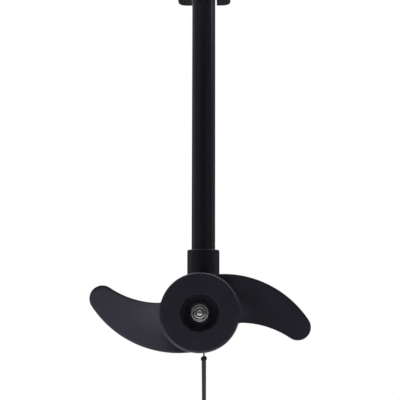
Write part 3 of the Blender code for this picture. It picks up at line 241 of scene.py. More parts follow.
def finishPiece(shape, name, body, material, slot, *replaced, flatten=False):
    # smooth shading, finish, and the body it moves with
    obj = shape if isinstance(shape, bpy.types.Object) else rawObject(name, shape)
    obj.name = name
    obj.data.shade_smooth()
    obj.data.set_sharp_from_angle(angle=radians(meshing["smoothAngle"]))
    if flatten:     # keeps wide faces flat beside cut edges
        step = obj.modifiers.new("evenNormals", "WEIGHTED_NORMAL")
        step.keep_sharp = True
        settle(obj)
    obj.data.materials.clear()
    obj.data.materials.append(material)
    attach(obj, body)
    if replaced:
        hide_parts(*replaced)
    return obj


# Node helpers, for shapes as well as finishes
def addNode(tree, kind, values=(), **options):
    node = tree.nodes.new(kind if "Node" in kind else "ShaderNode" + kind)
    for key, value in options.items():
        setattr(node, key, value)
    for label, value in dict(values).items():
        if isinstance(value, bpy.types.NodeSocket):
            tree.links.new(value, node.inputs[label])
        else:
            node.inputs[label].default_value = value
    return node


def mathOf(tree, operation, *values, **options):
    return addNode(tree, "Math", enumerate(values), operation=operation, **options).outputs[0]


def startTree(name, **sockets):
    tree = bpy.data.node_groups.new(name, "GeometryNodeTree")
    tree.interface.new_socket("Geometry", in_out="INPUT", socket_type="NodeSocketGeometry")
    for label, kind in sockets.items():
        tree.interface.new_socket(label, in_out="INPUT", socket_type="NodeSocket" + kind)
    tree.interface.new_socket("Geometry", in_out="OUTPUT", socket_type="NodeSocketGeometry")
    return tree, addNode(tree, "NodeGroupInput").outputs


def endTree(tree, geometry, finish):
    real = addNode(tree, "GeometryNodeRealizeInstances", {"Geometry": geometry}).outputs[0]
    dressed = addNode(tree, "GeometryNodeSetMaterial", {"Geometry": real, "Material": finish}).outputs[0]
    addNode(tree, "NodeGroupOutput", {"Geometry": dressed})
    return tree


def runTree(obj, tree, values):
    # inputs are set by identifier before the first evaluation
    step = obj.modifiers.new(tree.name, "NODES")
    step.node_group = tree
    for item in tree.interface.items_tree:
        if item.item_type == "SOCKET" and item.in_out == "INPUT" and item.name in values:
            step[item.identifier] = values[item.name]
    return settle(obj)


def ringTree():
    # copies of one shape, evenly round an axis
    tree, given = startTree("ringOfCopies", Count="Int", Centre="Vector", Axis="Vector", Finish="Material")
    back = addNode(tree, "VectorMath", {0: given["Centre"], 1: (-1, -1, -1)}, operation="MULTIPLY").outputs[0]
    shape = addNode(tree, "GeometryNodeTransform", {"Geometry": given["Geometry"], "Translation": back})
    points = addNode(tree, "GeometryNodePoints", {"Count": given["Count"], "Position": given["Centre"]})
    share = mathOf(tree, "DIVIDE", addNode(tree, "GeometryNodeInputIndex").outputs[0], given["Count"])
    turn = mathOf(tree, "MULTIPLY", share, 2 * pi)
    spin = addNode(tree, "FunctionNodeAxisAngleToRotation", {"Axis": given["Axis"], "Angle": turn}).outputs[0]
    copies = addNode(tree, "GeometryNodeInstanceOnPoints",
                     {"Points": points.outputs[0], "Instance": shape.outputs[0], "Rotation": spin})
    return endTree(tree, copies.outputs[0], given["Finish"])


def threadTree(around=32, corners=4):
    # a raised thread that winds along Z, turned and moved into place
    tree, given = startTree("screwThread", Radius="Float", Depth="Float", Pitch="Float", Length="Float",
                            Place="Vector", Turn="Rotation", Finish="Material")
    turns = mathOf(tree, "DIVIDE", given["Length"], given["Pitch"])
    spiral = addNode(tree, "GeometryNodeCurveSpiral",
                     {"Resolution": around, "Rotations": turns, "Start Radius": given["Radius"],
                      "End Radius": given["Radius"], "Height": given["Length"]})
    section = addNode(tree, "GeometryNodeCurvePrimitiveCircle", {"Resolution": corners, "Radius": given["Depth"]})
    ridge = addNode(tree, "GeometryNodeCurveToMesh",
                    {"Curve": spiral.outputs[0], "Profile Curve": section.outputs[0], "Fill Caps": True})
    placed = addNode(tree, "GeometryNodeTransform",
                     {"Geometry": ridge.outputs[0], "Translation": given["Place"], "Rotation": given["Turn"]})
    both = addNode(tree, "GeometryNodeJoinGeometry")
    for geometry in (given["Geometry"], placed.outputs[0]):
        tree.links.new(geometry, both.inputs[0])
    return endTree(tree, both.outputs[0], given["Finish"])


# Finishes
def noiseOf(tree, size, detail, stretch=(1, 1, 1), rough=0.5):
    # grain of a given size in metres, drawn out along an axis where stretch is small
    place = addNode(tree, "TexCoord").outputs["Object"]
    mapped = addNode(tree, "Mapping", {"Vector": place, "Scale": stretch}).outputs[0]
    noise = addNode(tree, "TexNoise", {"Vector": mapped, "Scale": 1 / size, "Detail": detail, "Roughness": rough})
    return noise.outputs["Fac"]


def rampOf(tree, value, stops):
    ramp = addNode(tree, "ValToRGB", {"Fac": value})
    elements = ramp.color_ramp.elements
    for at, colour in stops[1:-1]:
        elements.new(at)
    for element, (at, colour) in zip(sorted(elements, key=lambda e: e.position), stops):
        element.position = at
        element.color = (*colour, 1)
    return ramp.outputs["Color"]


def rangeOf(tree, value, span, low=0.0, high=1.0):
    return addNode(tree, "MapRange", {"Value": value, "From Min": span[0], "From Max": span[1],
                                      "To Min": low, "To Max": high}).outputs["Result"]


def mixOf(tree, share, first, second):
    return addNode(tree, "Mix", {0: share, 6: first, 7: second}, data_type="RGBA").outputs[2]


def startMaterial(name):
    material = bpy.data.materials.new(name)
    material.use_nodes = True
    return material, material.node_tree, material.node_tree.nodes["Principled BSDF"]


# detail of each noise, and the span of noise or of edge sharpness that shows
texture = {"cloudDetail": 4.0, "cloudSpan": (0.3, 0.7), "edgeSpan": (0.53, 0.66), "scuffDetail": 5.0,
           "scuffRough": 0.6, "scuffSpan": (0.62, 0.78), "patchDetail": 5.0, "patchSpan": (0.3, 0.7),
           "grainDetail": 2.0, "edgeSamples": 6}


def finishOf(name, special):
    # base tone with clouding, wear on edges, patchy gloss and a fine grain in relief
    look, t = {**plainLook, **special}, texture
    material, tree, shader = startMaterial(name)
    for label, value in look["sockets"].items():
        shader.inputs[label].default_value = value
    shader.inputs["Specular Tint"].default_value = (*look["sheen"], 1)
    stretch = look["stretch"]
    clouds = noiseOf(tree, look["cloud"], t["cloudDetail"], stretch)
    tone = rampOf(tree, clouds, list(zip(t["cloudSpan"], (look["dark"], look["light"]))))
    point = addNode(tree, "NewGeometry").outputs["Pointiness"]
    worn = rangeOf(tree, point, t["edgeSpan"], 0.0, look["wear"])
    spots = noiseOf(tree, look["scuff"], t["scuffDetail"], stretch, t["scuffRough"])
    scuffs = rangeOf(tree, spots, t["scuffSpan"], 0.0, look["scuffing"])
    marked = mathOf(tree, "MAXIMUM", worn, scuffs)
    tree.links.new(mixOf(tree, marked, tone, (*look["wornTone"], 1)), shader.inputs["Base Color"])
    patch = rangeOf(tree, noiseOf(tree, look["patch"], t["patchDetail"], stretch), t["patchSpan"], *look["rough"])
    tree.links.new(mathOf(tree, "ADD", patch, scuffs, use_clamp=True), shader.inputs["Roughness"])
    grain = noiseOf(tree, look["grain"], t["grainDetail"], look["grainStretch"] or stretch)
    bump = addNode(tree, "Bump", {"Height": grain, "Strength": look["relief"], "Distance": look["grain"]})
    if look["roundEdges"]:      # softens the cut edges of castings
        soft = addNode(tree, "Bevel", {"Radius": look["roundEdges"]}, samples=t["edgeSamples"])
        tree.links.new(soft.outputs[0], bump.inputs["Normal"])
    tree.links.new(bump.outputs[0], shader.inputs["Normal"])
    return material


coolSheen, bareMetal = (0.80, 0.77, 1.0), {"Metallic": 1.0}
# what a look doesn't say
plainLook = {"cloud": 0.030, "wear": 0.5, "scuff": 0.003, "scuffing": 0.10, "patch": 0.006, "grain": 0.0006,
             "relief": 0.10, "sheen": (1, 1, 1), "stretch": (1, 1, 1), "grainStretch": None, "roundEdges": None,
             "sockets": {}}
looks = {
    "satinMould": {"dark": (0.0090, 0.0087, 0.0120), "light": (0.0130, 0.0126, 0.0165),
                   "wornTone": (0.045, 0.045, 0.048), "rough": (0.30, 0.40), "scuff": 0.004, "patch": 0.012,
                   "sheen": coolSheen},
    "propMould": {"dark": (0.0112, 0.0107, 0.0154), "light": (0.0150, 0.0143, 0.0197),
                  "wornTone": (0.055, 0.054, 0.060), "rough": (0.285, 0.34), "scuff": 0.004, "scuffing": 0.06,
                  "patch": 0.012, "relief": 0.06, "sheen": coolSheen},
    "skegMould": {"dark": (0.0095, 0.0091, 0.0094), "light": (0.0130, 0.0125, 0.0127),
                  "wornTone": (0.055, 0.054, 0.053), "rough": (0.36, 0.46), "cloud": 0.020, "patch": 0.010,
                  "sockets": {"Specular IOR Level": 0.32}},
    "glossShaft": {"dark": (0.0060, 0.0057, 0.0090), "light": (0.0090, 0.0085, 0.0125),
                   "wornTone": (0.03, 0.03, 0.032), "rough": (0.14, 0.22), "cloud": 0.012, "wear": 0.3,
                   "scuff": 0.002, "scuffing": 0.06, "grain": 0.0009, "relief": 0.05, "sheen": coolSheen,
                   "stretch": (1, 1, 0.04)},
    "castingPaint": {"dark": (0.0046, 0.0044, 0.0070), "light": (0.0072, 0.0069, 0.0100),
                     "wornTone": (0.07, 0.07, 0.072), "rough": (0.24, 0.36), "cloud": 0.025, "wear": 0.6,
                     "scuffing": 0.12, "patch": 0.010, "grain": 0.0010, "relief": 0.16, "roundEdges": 0.0012,
                     "sheen": coolSheen, "sockets": {"Specular IOR Level": 0.38}},
    "canEnamel": {"dark": (0.0072, 0.0069, 0.0098), "light": (0.0105, 0.0101, 0.0136),
                  "wornTone": (0.06, 0.06, 0.062), "rough": (0.18, 0.28), "patch": 0.010, "grain": 0.0014,
                  "relief": 0.08, "sheen": coolSheen},
    "gripRubber": {"dark": (0.0120, 0.0120, 0.0125), "light": (0.0180, 0.0180, 0.0185),
                   "wornTone": (0.05, 0.05, 0.05), "rough": (0.62, 0.78), "cloud": 0.015, "wear": 0.4,
                   "scuffing": 0.15, "grain": 0.0005, "relief": 0.35},
    "darkNylon": {"dark": (0.0140, 0.0140, 0.0155), "light": (0.0210, 0.0210, 0.0225),
                  "wornTone": (0.06, 0.06, 0.06), "rough": (0.40, 0.52), "cloud": 0.020, "wear": 0.4,
                  "patch": 0.008, "grain": 0.0005, "relief": 0.12},
    "turnedStainless": {"dark": (0.47, 0.47, 0.48), "light": (0.55, 0.55, 0.56), "wornTone": (0.72, 0.72, 0.73),
                        "rough": (0.20, 0.28), "cloud": 0.006, "wear": 0.4, "scuff": 0.0015, "scuffing": 0.03,
                        "patch": 0.004, "grain": 0.0002, "grainStretch": (1, 4, 1), "relief": 0.03,
                        "sockets": bareMetal},
    "laminatedIron": {"dark": (0.10, 0.10, 0.105), "light": (0.20, 0.20, 0.21), "wornTone": (0.35, 0.35, 0.36),
                      "rough": (0.38, 0.55), "cloud": 0.010, "wear": 0.6, "scuff": 0.002, "scuffing": 0.2,
                      "patch": 0.005, "grainStretch": (0.05, 1, 0.05), "relief": 0.5, "sockets": bareMetal},
    "ferriteGrey": {"dark": (0.035, 0.035, 0.038), "light": (0.060, 0.060, 0.064), "wornTone": (0.12, 0.12, 0.12),
                    "rough": (0.55, 0.72), "cloud": 0.010, "scuff": 0.002, "scuffing": 0.15, "grain": 0.0004,
                    "relief": 0.3},
    "copperWire": {"dark": (0.52, 0.22, 0.10), "light": (0.78, 0.40, 0.22), "wornTone": (0.9, 0.55, 0.35),
                   "rough": (0.22, 0.38), "cloud": 0.006, "wear": 0.4, "scuff": 0.002, "patch": 0.004,
                   "grain": 0.0008, "grainStretch": (1, 0.06, 1), "relief": 0.6, "sockets": bareMetal},
    "brushCarbon": {"dark": (0.018, 0.018, 0.018), "light": (0.032, 0.032, 0.032), "wornTone": (0.08, 0.08, 0.08),
                    "rough": (0.6, 0.8), "cloud": 0.003, "scuff": 0.001, "scuffing": 0.2, "patch": 0.002,
                    "grain": 0.0003, "relief": 0.3},
    "redLead": {"dark": (0.34, 0.018, 0.018), "light": (0.46, 0.030, 0.028), "wornTone": (0.5, 0.1, 0.1),
                "rough": (0.38, 0.5), "cloud": 0.010, "wear": 0.2, "scuffing": 0.05, "grain": 0.0005},
}
finishes = {name: finishOf(name, look) for name, look in looks.items()}
finishOfSlot = {
    "satin_black_plastic": "satinMould", "gloss_black_tube": "glossShaft", "black_paint": "castingPaint",
    "black_enamel": "canEnamel", "black_rubber": "gripRubber", "dark_nylon": "darkNylon",
    "stainless_steel": "turnedStainless", "motor_iron": "laminatedIron", "ceramic_magnet": "ferriteGrey",
    "copper": "copperWire", "carbon": "brushCarbon", "red_insulation": "redLead",
}
slotOfNode = {part["node"]: part["material_slot"] for part in frame["record"]["subparts"]}
for nodeName, node in frame["nodes"].items():
    node.data.materials.clear()
    node.data.materials.append(finishes[finishOfSlot[slotOfNode[nodeName]]])
print("finishes made:", len(finishes))


def dressed(shape, name, body, node, flatten=False, finish=None):
    # a piece takes its finish, unless told otherwise, from the slot of the node that it stands for
    slot = slotOfNode[node]
    return finishPiece(shape, name, body, finishes[finish or finishOfSlot[slot]], slot, node, flatten=flatten)


def turnedPiece(name, body, node, section, axis, line, detail="small", soft=5):
    dressed(turnedShape(section, axis, line, detail, soft), name, body, node)


def summedPiece(name, body, node, base, joins=(), cuts=(), firstCuts=(), flatten=True, finish=None):
    dressed(solidSum(name, base, joins, cuts, firstCuts), name, body, node, flatten, finish)


# Shaft tube, bushes and depth collar
shaftShape = {"wall": 0.0025, "edge": 0.0004}
bushShape = {"rimDepth": 0.003, "rimOut": 0.004, "mouthEdge": 0.0006, "rimEdge": 0.0008}
collarShape = {"edge": 0.0022, "mouthEdge": 0.0004, "slit": 0.0016, "screw": 0.0036}


def makeShaft():
    low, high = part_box("shaft_tube")
    outer = (high.x - low.x) / 2
    section = pipe(outer - shaftShape["wall"], outer, low.z, high.z, shaftShape["edge"])
    turnedPiece("shaftTube", "shaft", "shaft_tube", section, "Z", shaftLine, "large")
    for name, node in (("upperBush", "upper_bush"), ("lowerBush", "lower_bush")):
        makeBush(name, node, outer)


def makeBush(name, node, tubeRadius):
    b = bushShape
    low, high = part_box(node)
    rim = (high.x - low.x) / 2
    upper = name == "upperBush"
    face, end = (high.z, low.z) if upper else (low.z, high.z)
    under = face + (-b["rimDepth"] if upper else b["rimDepth"])
    inner, outer = tubeRadius + clearance, rim - b["rimOut"]
    section = [(inner, face, b["mouthEdge"]), (rim, face, b["rimEdge"]), (rim, under), (outer, under), (outer, end),
               (inner, end)]
    turnedPiece(name, "swivel", node, section, "Z", shaftLine, "medium")


def makeCollar():
    c = collarShape
    low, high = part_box("depth_collar")
    tubeLow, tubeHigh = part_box("shaft_tube")
    outer, inner = (high.x - low.x) / 2, (tubeHigh.x - tubeLow.x) / 2 + clearance
    edge, mouth, half = c["edge"], c["mouthEdge"], c["slit"] / 2
    section = [(inner, low.z, mouth), (outer, low.z, edge), (outer, high.z, edge), (inner, high.z, mouth)]
    ring = turnedShape(section, "Z", shaftLine, "medium")
    slit = brick((-half, shaftLine.y, low.z - edge), (half, shaftLine.y + 2 * outer, high.z + edge))
    middle = Vector((0, 0, (low.z + high.z) / 2))
    hole = rod(c["screw"], "Y", middle, shaftLine.y - 2 * outer, shaftLine.y)
    summedPiece("depthCollar", "collar", "depth_collar", ring, cuts=(slit, hole))


# Swivel housing, which carries the shaft and hangs on the tilt hinge
swivelShape = {"footHeight": 0.022, "footRound": 0.003, "footTop": 0.006, "footHalf": 0.0325, "footCorner": 0.012,
               "leastCorner": 0.003, "waist": 0.027, "waistRound": 0.010, "taper": 0.012, "topRadius": 0.030,
               "topHeight": 0.014, "topUnder": 0.005, "topRound": 0.002, "barrel": 0.013, "barrelHalf": 0.0273,
               "barrelEdge": 0.0012, "bolt": 0.0056, "armHalf": 0.020, "armDrop": 0.024, "armRise": 0.016,
               "armEdge": 0.0025, "notch": 0.010, "notchHalf": 0.0154, "bore": 0.0186, "rim": 0.0226,
               "rimDepth": 0.0033, "stud": 0.0036, "studFrom": 0.014, "studHeight": -0.070}


def makeSwivel():
    s = swivelShape
    low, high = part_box("swivel_housing")
    foot, waist, top = high.x, s["waist"], s["topRadius"]
    start, shoulder = low.z + s["taper"], high.z - s["topHeight"]
    section = [(0, start), (waist, start), (waist, shoulder - s["taper"], s["waistRound"]),
               (top, shoulder, s["topUnder"]), (top, high.z, s["topRound"]), (0, high.z)]
    sleeve = turnedShape(section, "Z", shaftLine, "medium", soft=8)

    def footOutline(inset):
        wide, deep = s["footHalf"] - inset, foot - inset
        corner = max(s["footCorner"] - inset, s["leastCorner"])
        corners = ((wide, deep), (-wide, deep), (-wide, -deep), (wide, -deep))
        return softCorners([(x, shaftLine.y + y, corner) for x, y in corners], loop=True, steps=12)

    rise = low.z + s["footHeight"]
    plinth = stackedShape(footOutline, [(s["taper"], low.z), (0, low.z, s["footRound"]), (0, rise, s["footTop"]),
                                        (s["footHalf"] - waist, rise + s["taper"])])
    root = shaftLine.y + waist / 3
    arm = [(root, tiltLine.z - s["armDrop"]), (tiltLine.y, tiltLine.z - s["barrel"]),
           (tiltLine.y, tiltLine.z + s["barrel"]), (root, tiltLine.z + s["armRise"])]
    web = slab(arm, "X", -s["armHalf"], s["armHalf"], s["armEdge"])
    barrel = rod(s["barrel"], "X", tiltLine, -s["barrelHalf"], s["barrelHalf"], "medium", s["barrelEdge"])
    seatLow, seatHigh = low.z + s["notch"] + s["rimDepth"], high.z - s["rimDepth"]
    under, above = low.z - wellPast, high.z + wellPast
    bore = [(0, under), (s["rim"], under), (s["rim"], seatLow), (s["bore"], seatLow), (s["bore"], seatHigh),
            (s["rim"], seatHigh), (s["rim"], above), (0, above)]
    half = s["notchHalf"]
    notch = brick((-half, shaftLine.y - 2 * foot, under), (half, shaftLine.y + 2 * foot, low.z + s["notch"]))
    studLine = Vector((0, shaftLine.y, s["studHeight"]))
    cuts = [turnedShape(bore, "Z", shaftLine, "medium"), notch, rod(s["bolt"], "X", tiltLine, -2 * foot, 2 * foot),
            rod(s["stud"], "X", studLine, s["studFrom"], 2 * foot)]
    summedPiece("swivelHousing", "swivel", "swivel_housing", sleeve, (plinth, web, barrel), cuts)


# Knobs with lobes, and the clamp screws with their pads
knobShape = {"small": {"depth": 0.0016, "lobes": 6, "length": 0.013, "neck": 0.007, "neckLength": 0.003,
                       "neckEdge": 0.0008, "neckRoot": 0.004, "stud": 0.003, "studEdge": 0.0005, "edge": 0.0018,
                       "dish": 0.005, "dishFlare": 0.001, "dishEdge": 0.0006, "sink": 0.0010, "rimSink": 0.0008},
             "wing": {"depth": 0.009, "lobes": 3, "lobeSteps": 28, "edge": 0.003, "edgeSteps": 5, "dish": 0.0075,
                      "dishFlare": 0.002, "dishEdge": 0.0008, "sink": 0.0015, "bore": 0.0053}}
padShape = {"footEdge": 0.0008, "slope": 0.0018, "slopeEdge": 0.0010, "top": 0.0068, "topEdge": 0.0006,
            "socket": 0.0036}
screwShape = {"radius": 0.005, "nose": 0.003, "noseEdge": 0.0005, "noseLength": 0.0035, "edge": 0.0004,
              "depth": 0.0007, "pitch": 0.0025}


def makeStudKnob(name, node, body, axis, sign, line):
    k = knobShape["small"]
    low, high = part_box(node)
    which = "XYZ".index(axis)
    radius = max((high[i] - low[i]) / 2 for i in range(3) if i != which)
    outer, inner = (high[which], low[which]) if sign > 0 else (low[which], high[which])
    face = outer - sign * k["length"]
    outline = lobedOutline(radius, k["depth"], k["lobes"], acrossAxis(axis, line))
    head = slab(outline, axis, min(face, outer), max(face, outer), k["edge"])
    neck, root, above = face - sign * k["neckLength"], face + sign * k["neckRoot"], outer + sign * past
    stud = [(0, inner), (k["stud"], inner, k["studEdge"]), (k["stud"], neck), (k["neck"], neck, k["neckEdge"]),
            (k["neck"], root), (0, root)]
    dish = [(0, outer - sign * k["sink"]), (k["dish"], outer - sign * k["rimSink"], k["dishEdge"]),
            (k["dish"] + k["dishFlare"], above), (0, above)]
    summedPiece(name, body, node, head, (turnedShape(stud, axis, line),), (turnedShape(dish, axis, line),))


def makeClamp(side, body, padBody):
    k, p = knobShape["wing"], padShape
    line = Vector(joints["clamp_" + side + "_spin"]["pos_m"])
    title = side.capitalize()
    low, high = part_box("clamp_knob_" + side)
    outline = lobedOutline(high.x - line.x, k["depth"], k["lobes"], (line.x, line.z), k["lobeSteps"])
    wing = slab(outline, "Y", low.y, high.y, k["edge"], k["edgeSteps"])
    screwLow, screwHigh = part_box("clamp_screw_" + side)
    sunk, above = high.y - k["sink"], high.y + past
    dish = [(0, sunk), (k["dish"], sunk, k["dishEdge"]), (k["dish"] + k["dishFlare"], above), (0, above)]
    cuts = (rod(k["bore"], "Y", line, low.y - past, screwHigh.y + clearance), turnedShape(dish, "Y", line))
    summedPiece("clampKnob" + title, body, "clamp_knob_" + side, wing, cuts=cuts)
    makeScrew(side, title, body, line, screwLow.y, screwHigh.y)
    low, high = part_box("clamp_pad_" + side)
    radius, socket = high.x - line.x, screwLow.y - clearance
    pad = [(0, low.y), (radius, low.y, p["footEdge"]), (radius, high.y - p["slope"], p["slopeEdge"]),
           (p["top"], high.y, p["topEdge"]), (p["socket"], high.y), (p["socket"], socket), (0, socket)]
    turnedPiece("clampPad" + title, padBody, "clamp_pad_" + side, pad, "Y", line, "medium")


def makeScrew(side, title, body, line, low, high):
    s = screwShape
    shoulder = low + s["noseLength"]
    core = s["radius"] - s["depth"]
    section = [(0, low), (s["nose"], low, s["noseEdge"]), (s["nose"], shoulder), (core, shoulder, s["edge"]),
               (core, high), (0, high)]
    screw = rawObject("clampScrew" + title, turnedShape(section, "Y", line))
    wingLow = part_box("clamp_knob_" + side)[0].y
    runTree(screw, windThread, {"Radius": core, "Depth": s["depth"], "Pitch": s["pitch"],
                                "Length": wingLow - shoulder - 2 * s["pitch"],
                                "Place": (line.x, shoulder + s["pitch"], line.z), "Turn": (-pi / 2, 0, 0),
                                "Finish": finishes["turnedStainless"]})
    dressed(screw, "clampScrew" + title, body, "clamp_screw_" + side)


# Clamp bracket with the hinge bolt and the trim pin, arcs in degrees with their steps
bracketShape = {"seat": 0.012, "seatLow": -0.040, "seatRound": 0.002, "under": 0.060, "gap": 0.070,
                "jawLow": -0.024, "jawRound": 0.004, "topFore": 0.010, "topAft": 0.008, "round": 0.004,
                "cheekIn": 0.0279, "cheek": 0.008, "cheekFore": -0.006, "cheekLow": 0.002, "cheekEdge": 0.0016,
                "ear": 0.016, "earArc": (80, 190, 18), "land": 0.010, "landArcs": ((140, 240, 12), (250, 275, 5)),
                "boltHole": 0.0053, "pinHole": 0.0043, "screwHole": 0.0056, "screwPast": 0.005, "holes": 3,
                "step": 9, "edge": 0.0022}
trimShape = {"radius": 0.004, "headEdge": 0.0016, "underEdge": 0.0008, "endRound": 0.0014}
pinShapes = {"hinge": {"crown": 0.55, "crownRound": 0.003, "rise": 0.0030, "headRound": 0.002, "shank": 0.005,
                       "endRound": 0.0008},
             "tiller": {"crown": 0.5, "crownRound": 0.002, "rise": 0.002, "headRound": 0.0015, "shank": 0.004,
                        "endRound": 0.0006}}
hexShape = {"drop": 0.7, "beyond": 0.0002, "underDrop": 0.0006}


def trimPoints():
    # trim holes lie on an arc round the tilt hinge
    low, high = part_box("trim_pin")
    first = Vector(((low.y + high.y) / 2, (low.z + high.z) / 2))
    arm = first - Vector((tiltLine.y, tiltLine.z))
    points = []
    for i in range(bracketShape["holes"]):
        turn = atan2(arm.y, arm.x) - radians(i * bracketShape["step"])
        points.append(Vector((tiltLine.y + arm.length * cos(turn), tiltLine.z + arm.length * sin(turn))))
    return points


def makeBracket():
    b = bracketShape
    low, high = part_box("clamp_bracket")
    top, jaw, back, seatLow = high.z, high.y, -b["seat"], b["seatLow"]
    seatRound, jawRound = b["seatRound"], b["jawRound"]
    hook = [(0, seatLow, seatRound), (0, b["under"]), (b["gap"], b["under"], seatRound),
            (b["gap"], b["jawLow"], jawRound), (jaw, b["jawLow"], jawRound), (jaw, top, b["topFore"]),
            (back, top, b["topAft"]), (back, seatLow, jawRound)]
    body = slab(softCorners(hook, loop=True), "X", low.x, high.x, b["edge"])
    holes = trimPoints()
    hinge = (tiltLine.y, tiltLine.z)
    cheek = [Vector((b["cheekFore"], top - b["round"]))]
    reaches = (b["ear"], b["land"], b["land"])
    for centre, reach, (start, end, steps) in zip((hinge, holes[-1], holes[0]), reaches, (b["earArc"], *b["landArcs"])):
        cheek += arcPoints(centre, reach, radians(start), radians(end), steps)
    cheek += [Vector((b["cheekFore"], seatLow + b["cheekLow"]))]
    joins = [slab(cheek, "X", start, start + b["cheek"], b["cheekEdge"])
             for start in (b["cheekIn"], -b["cheekIn"] - b["cheek"])]
    across = b["cheekIn"] + 2 * b["cheek"]
    bores = [(hinge, b["boltHole"])] + [(hole, b["pinHole"]) for hole in holes]
    cuts = [rod(radius, "X", Vector((0, at[0], at[1])), -across, across) for at, radius in bores]
    for side in ("left", "right"):
        line = Vector(joints["clamp_" + side + "_spin"]["pos_m"])
        cuts.append(rod(b["screwHole"], "Y", line, b["gap"] - b["screwPast"], jaw + b["screwPast"]))
    summedPiece("clampBracket", "bracket", "clamp_bracket", body, joins, cuts)


def headedPin(low, high, under, s):
    # a pin along X with a domed head
    head = (high.z - low.z) / 2
    return [(0, low.x), (head * s["crown"], low.x, s["crownRound"]), (head, low.x + s["rise"], s["headRound"]),
            (head, under), (s["shank"], under), (s["shank"], high.x, s["endRound"]), (0, high.x)]


def makeHingeBolt():
    t = trimShape
    low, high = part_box("hinge_bolt")
    nutLow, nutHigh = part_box("hinge_nut")
    under = -nutLow.x
    turnedPiece("hingeBolt", "bracket", "hinge_bolt", headedPin(low, high, under, pinShapes["hinge"]), "X", tiltLine)
    nut = hexNut("hingeNut", "X", tiltLine, (nutHigh.y - nutLow.y) / 2, nutLow.x, nutHigh.x, bracketShape["boltHole"])
    dressed(nut, "hingeNut", "bracket", "hinge_nut", flatten=True)
    low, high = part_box("trim_pin")
    head = (high.z - low.z) / 2
    pin = [(0, low.x), (head, low.x, t["headEdge"]), (head, under, t["underEdge"]), (t["radius"], under),
           (t["radius"], high.x, t["endRound"]), (0, high.x)]
    turnedPiece("trimPin", "bracket", "trim_pin", pin, "X", (low + high) / 2)


def hexNut(name, axis, line, radius, low, high, bore, crown=None, drop=None):
    # a hexagon whose corners are chamfered by a turned cone that starts at the crown
    s = hexShape
    a, b = acrossAxis(axis, line)
    outline = [(a + radius * cos(pi / 3 * i), b + radius * sin(pi / 3 * i)) for i in range(6)]
    flat, wide = radius * cos(pi / 6), radius + s["beyond"]
    crown, drop = crown or flat, drop or (radius - flat) * s["drop"]
    cone = [(0, low), (crown, low), (wide, low + drop), (wide, high - s["underDrop"]), (flat, high), (0, high)]
    hole = rod(bore, axis, line, low - wellPast, high + wellPast)
    bevelled = turnedShape(cone, axis, line, "medium")
    return solidSum(name, slab(outline, axis, low, high), cuts=(hole,), keeps=(bevelled,))


# Motor pod: front housing with tower and keel, can and rear cap
podShape = {"wall": 0.004, "spigot": 0.009, "spigotWall": 0.011, "canWall": 0.0025, "noseStart": 0.045, "nose": 0.080,
            "noseSteps": 40, "innerNose": 0.75, "frontAft": 0.040, "tower": 0.0191, "towerTop": 0.0782,
            "towerEdge": 0.0016, "towerRound": 0.012, "flare": 0.004, "socket": 0.046, "tubeHole": 0.0143,
            "mouthEdge": 0.0004, "keelHalf": 0.0005, "keelAft": 0.016, "keelStop": 0.005, "keelFore": 0.066,
            "keelDrop": 0.0502, "bead": 0.0019, "seam": 0.0006, "screw": 0.0034, "leadHole": 0.0092,
            "leadRoom": 0.001}
capShape = {"flange": 0.010, "flangeEdge": 0.002, "neck": 0.034, "boss": 0.017, "bossEdge": 0.0012, "bore": 0.0056,
            "seal": 0.0108, "sealDepth": 0.0053, "sealEdge": 0.0004, "bearing": 0.0123, "bearingDepth": 0.0083,
            "sink": 0.0037, "sinkDepth": 0.0035, "bolt": 0.0023}


def makeFrontHousing():
    p = podShape
    radius, y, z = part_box("front_housing")[1].x, shaftLine.y, podLine.z
    aft, noseStart = y - p["frontAft"], y + p["noseStart"]
    end, lip = aft - p["spigot"], aft + p["spigotWall"]
    inner, spigot = radius - p["wall"], radius - p["canWall"] - clearance
    bore = spigot - p["spigotWall"]
    section = [(0, noseStart + p["nose"] / 3), (inner * p["innerNose"], noseStart),
               (inner, noseStart - p["nose"] / 4), (inner, lip), (bore, lip), (bore, end), (spigot, end),
               (spigot, aft), (radius - p["seam"], aft), (radius, aft + p["seam"])]
    turns = [pi / 2 * i / p["noseSteps"] for i in range(p["noseSteps"])]
    section += [(radius * cos(turn), noseStart + p["nose"] * sin(turn)) for turn in turns]
    section += [(0, noseStart + p["nose"])]
    shell = turnedShape(section, "Y", podLine, "large", soft=0)
    base = sqrt(radius ** 2 - p["tower"] ** 2) - p["wall"]
    socket, top = z + p["socket"], z + p["towerTop"]
    tower = [(p["leadHole"], z + base), (p["tower"] + p["flare"], z + base),
             (p["tower"], z + base + 3 * p["flare"], p["towerRound"]), (p["tower"], top, p["towerEdge"]),
             (p["tubeHole"], top, p["mouthEdge"]), (p["tubeHole"], socket), (p["leadHole"], socket)]
    post = turnedShape(tower, "Z", shaftLine, "medium", soft=8)
    keelTop, keelLow = z - radius + p["wall"] / 2, z - p["keelDrop"]
    keelAft, keelFore, keelIn = y + p["keelAft"] + p["keelStop"], y + p["keelFore"], p["bead"] / 4
    keel = brick((-p["keelHalf"], keelAft + keelIn, keelLow), (p["keelHalf"], keelFore - keelIn, keelTop))
    bead = rod(p["bead"], "Y", Vector((0, 0, keelLow)), keelAft, keelFore)
    screwLine = Vector((0, 0, z + (p["socket"] + p["towerTop"]) / 2))
    leadHole = rod(p["leadHole"] + p["leadRoom"], "Z", shaftLine, z + radius / 3, z + 2 * radius)
    screwHole = rod(p["screw"], "Y", screwLine, y + p["tubeHole"] / 2, y + 2 * p["tower"])
    summedPiece("frontHousing", "shaft", "front_housing", shell, (post, keel, bead), (screwHole,), (leadHole,))


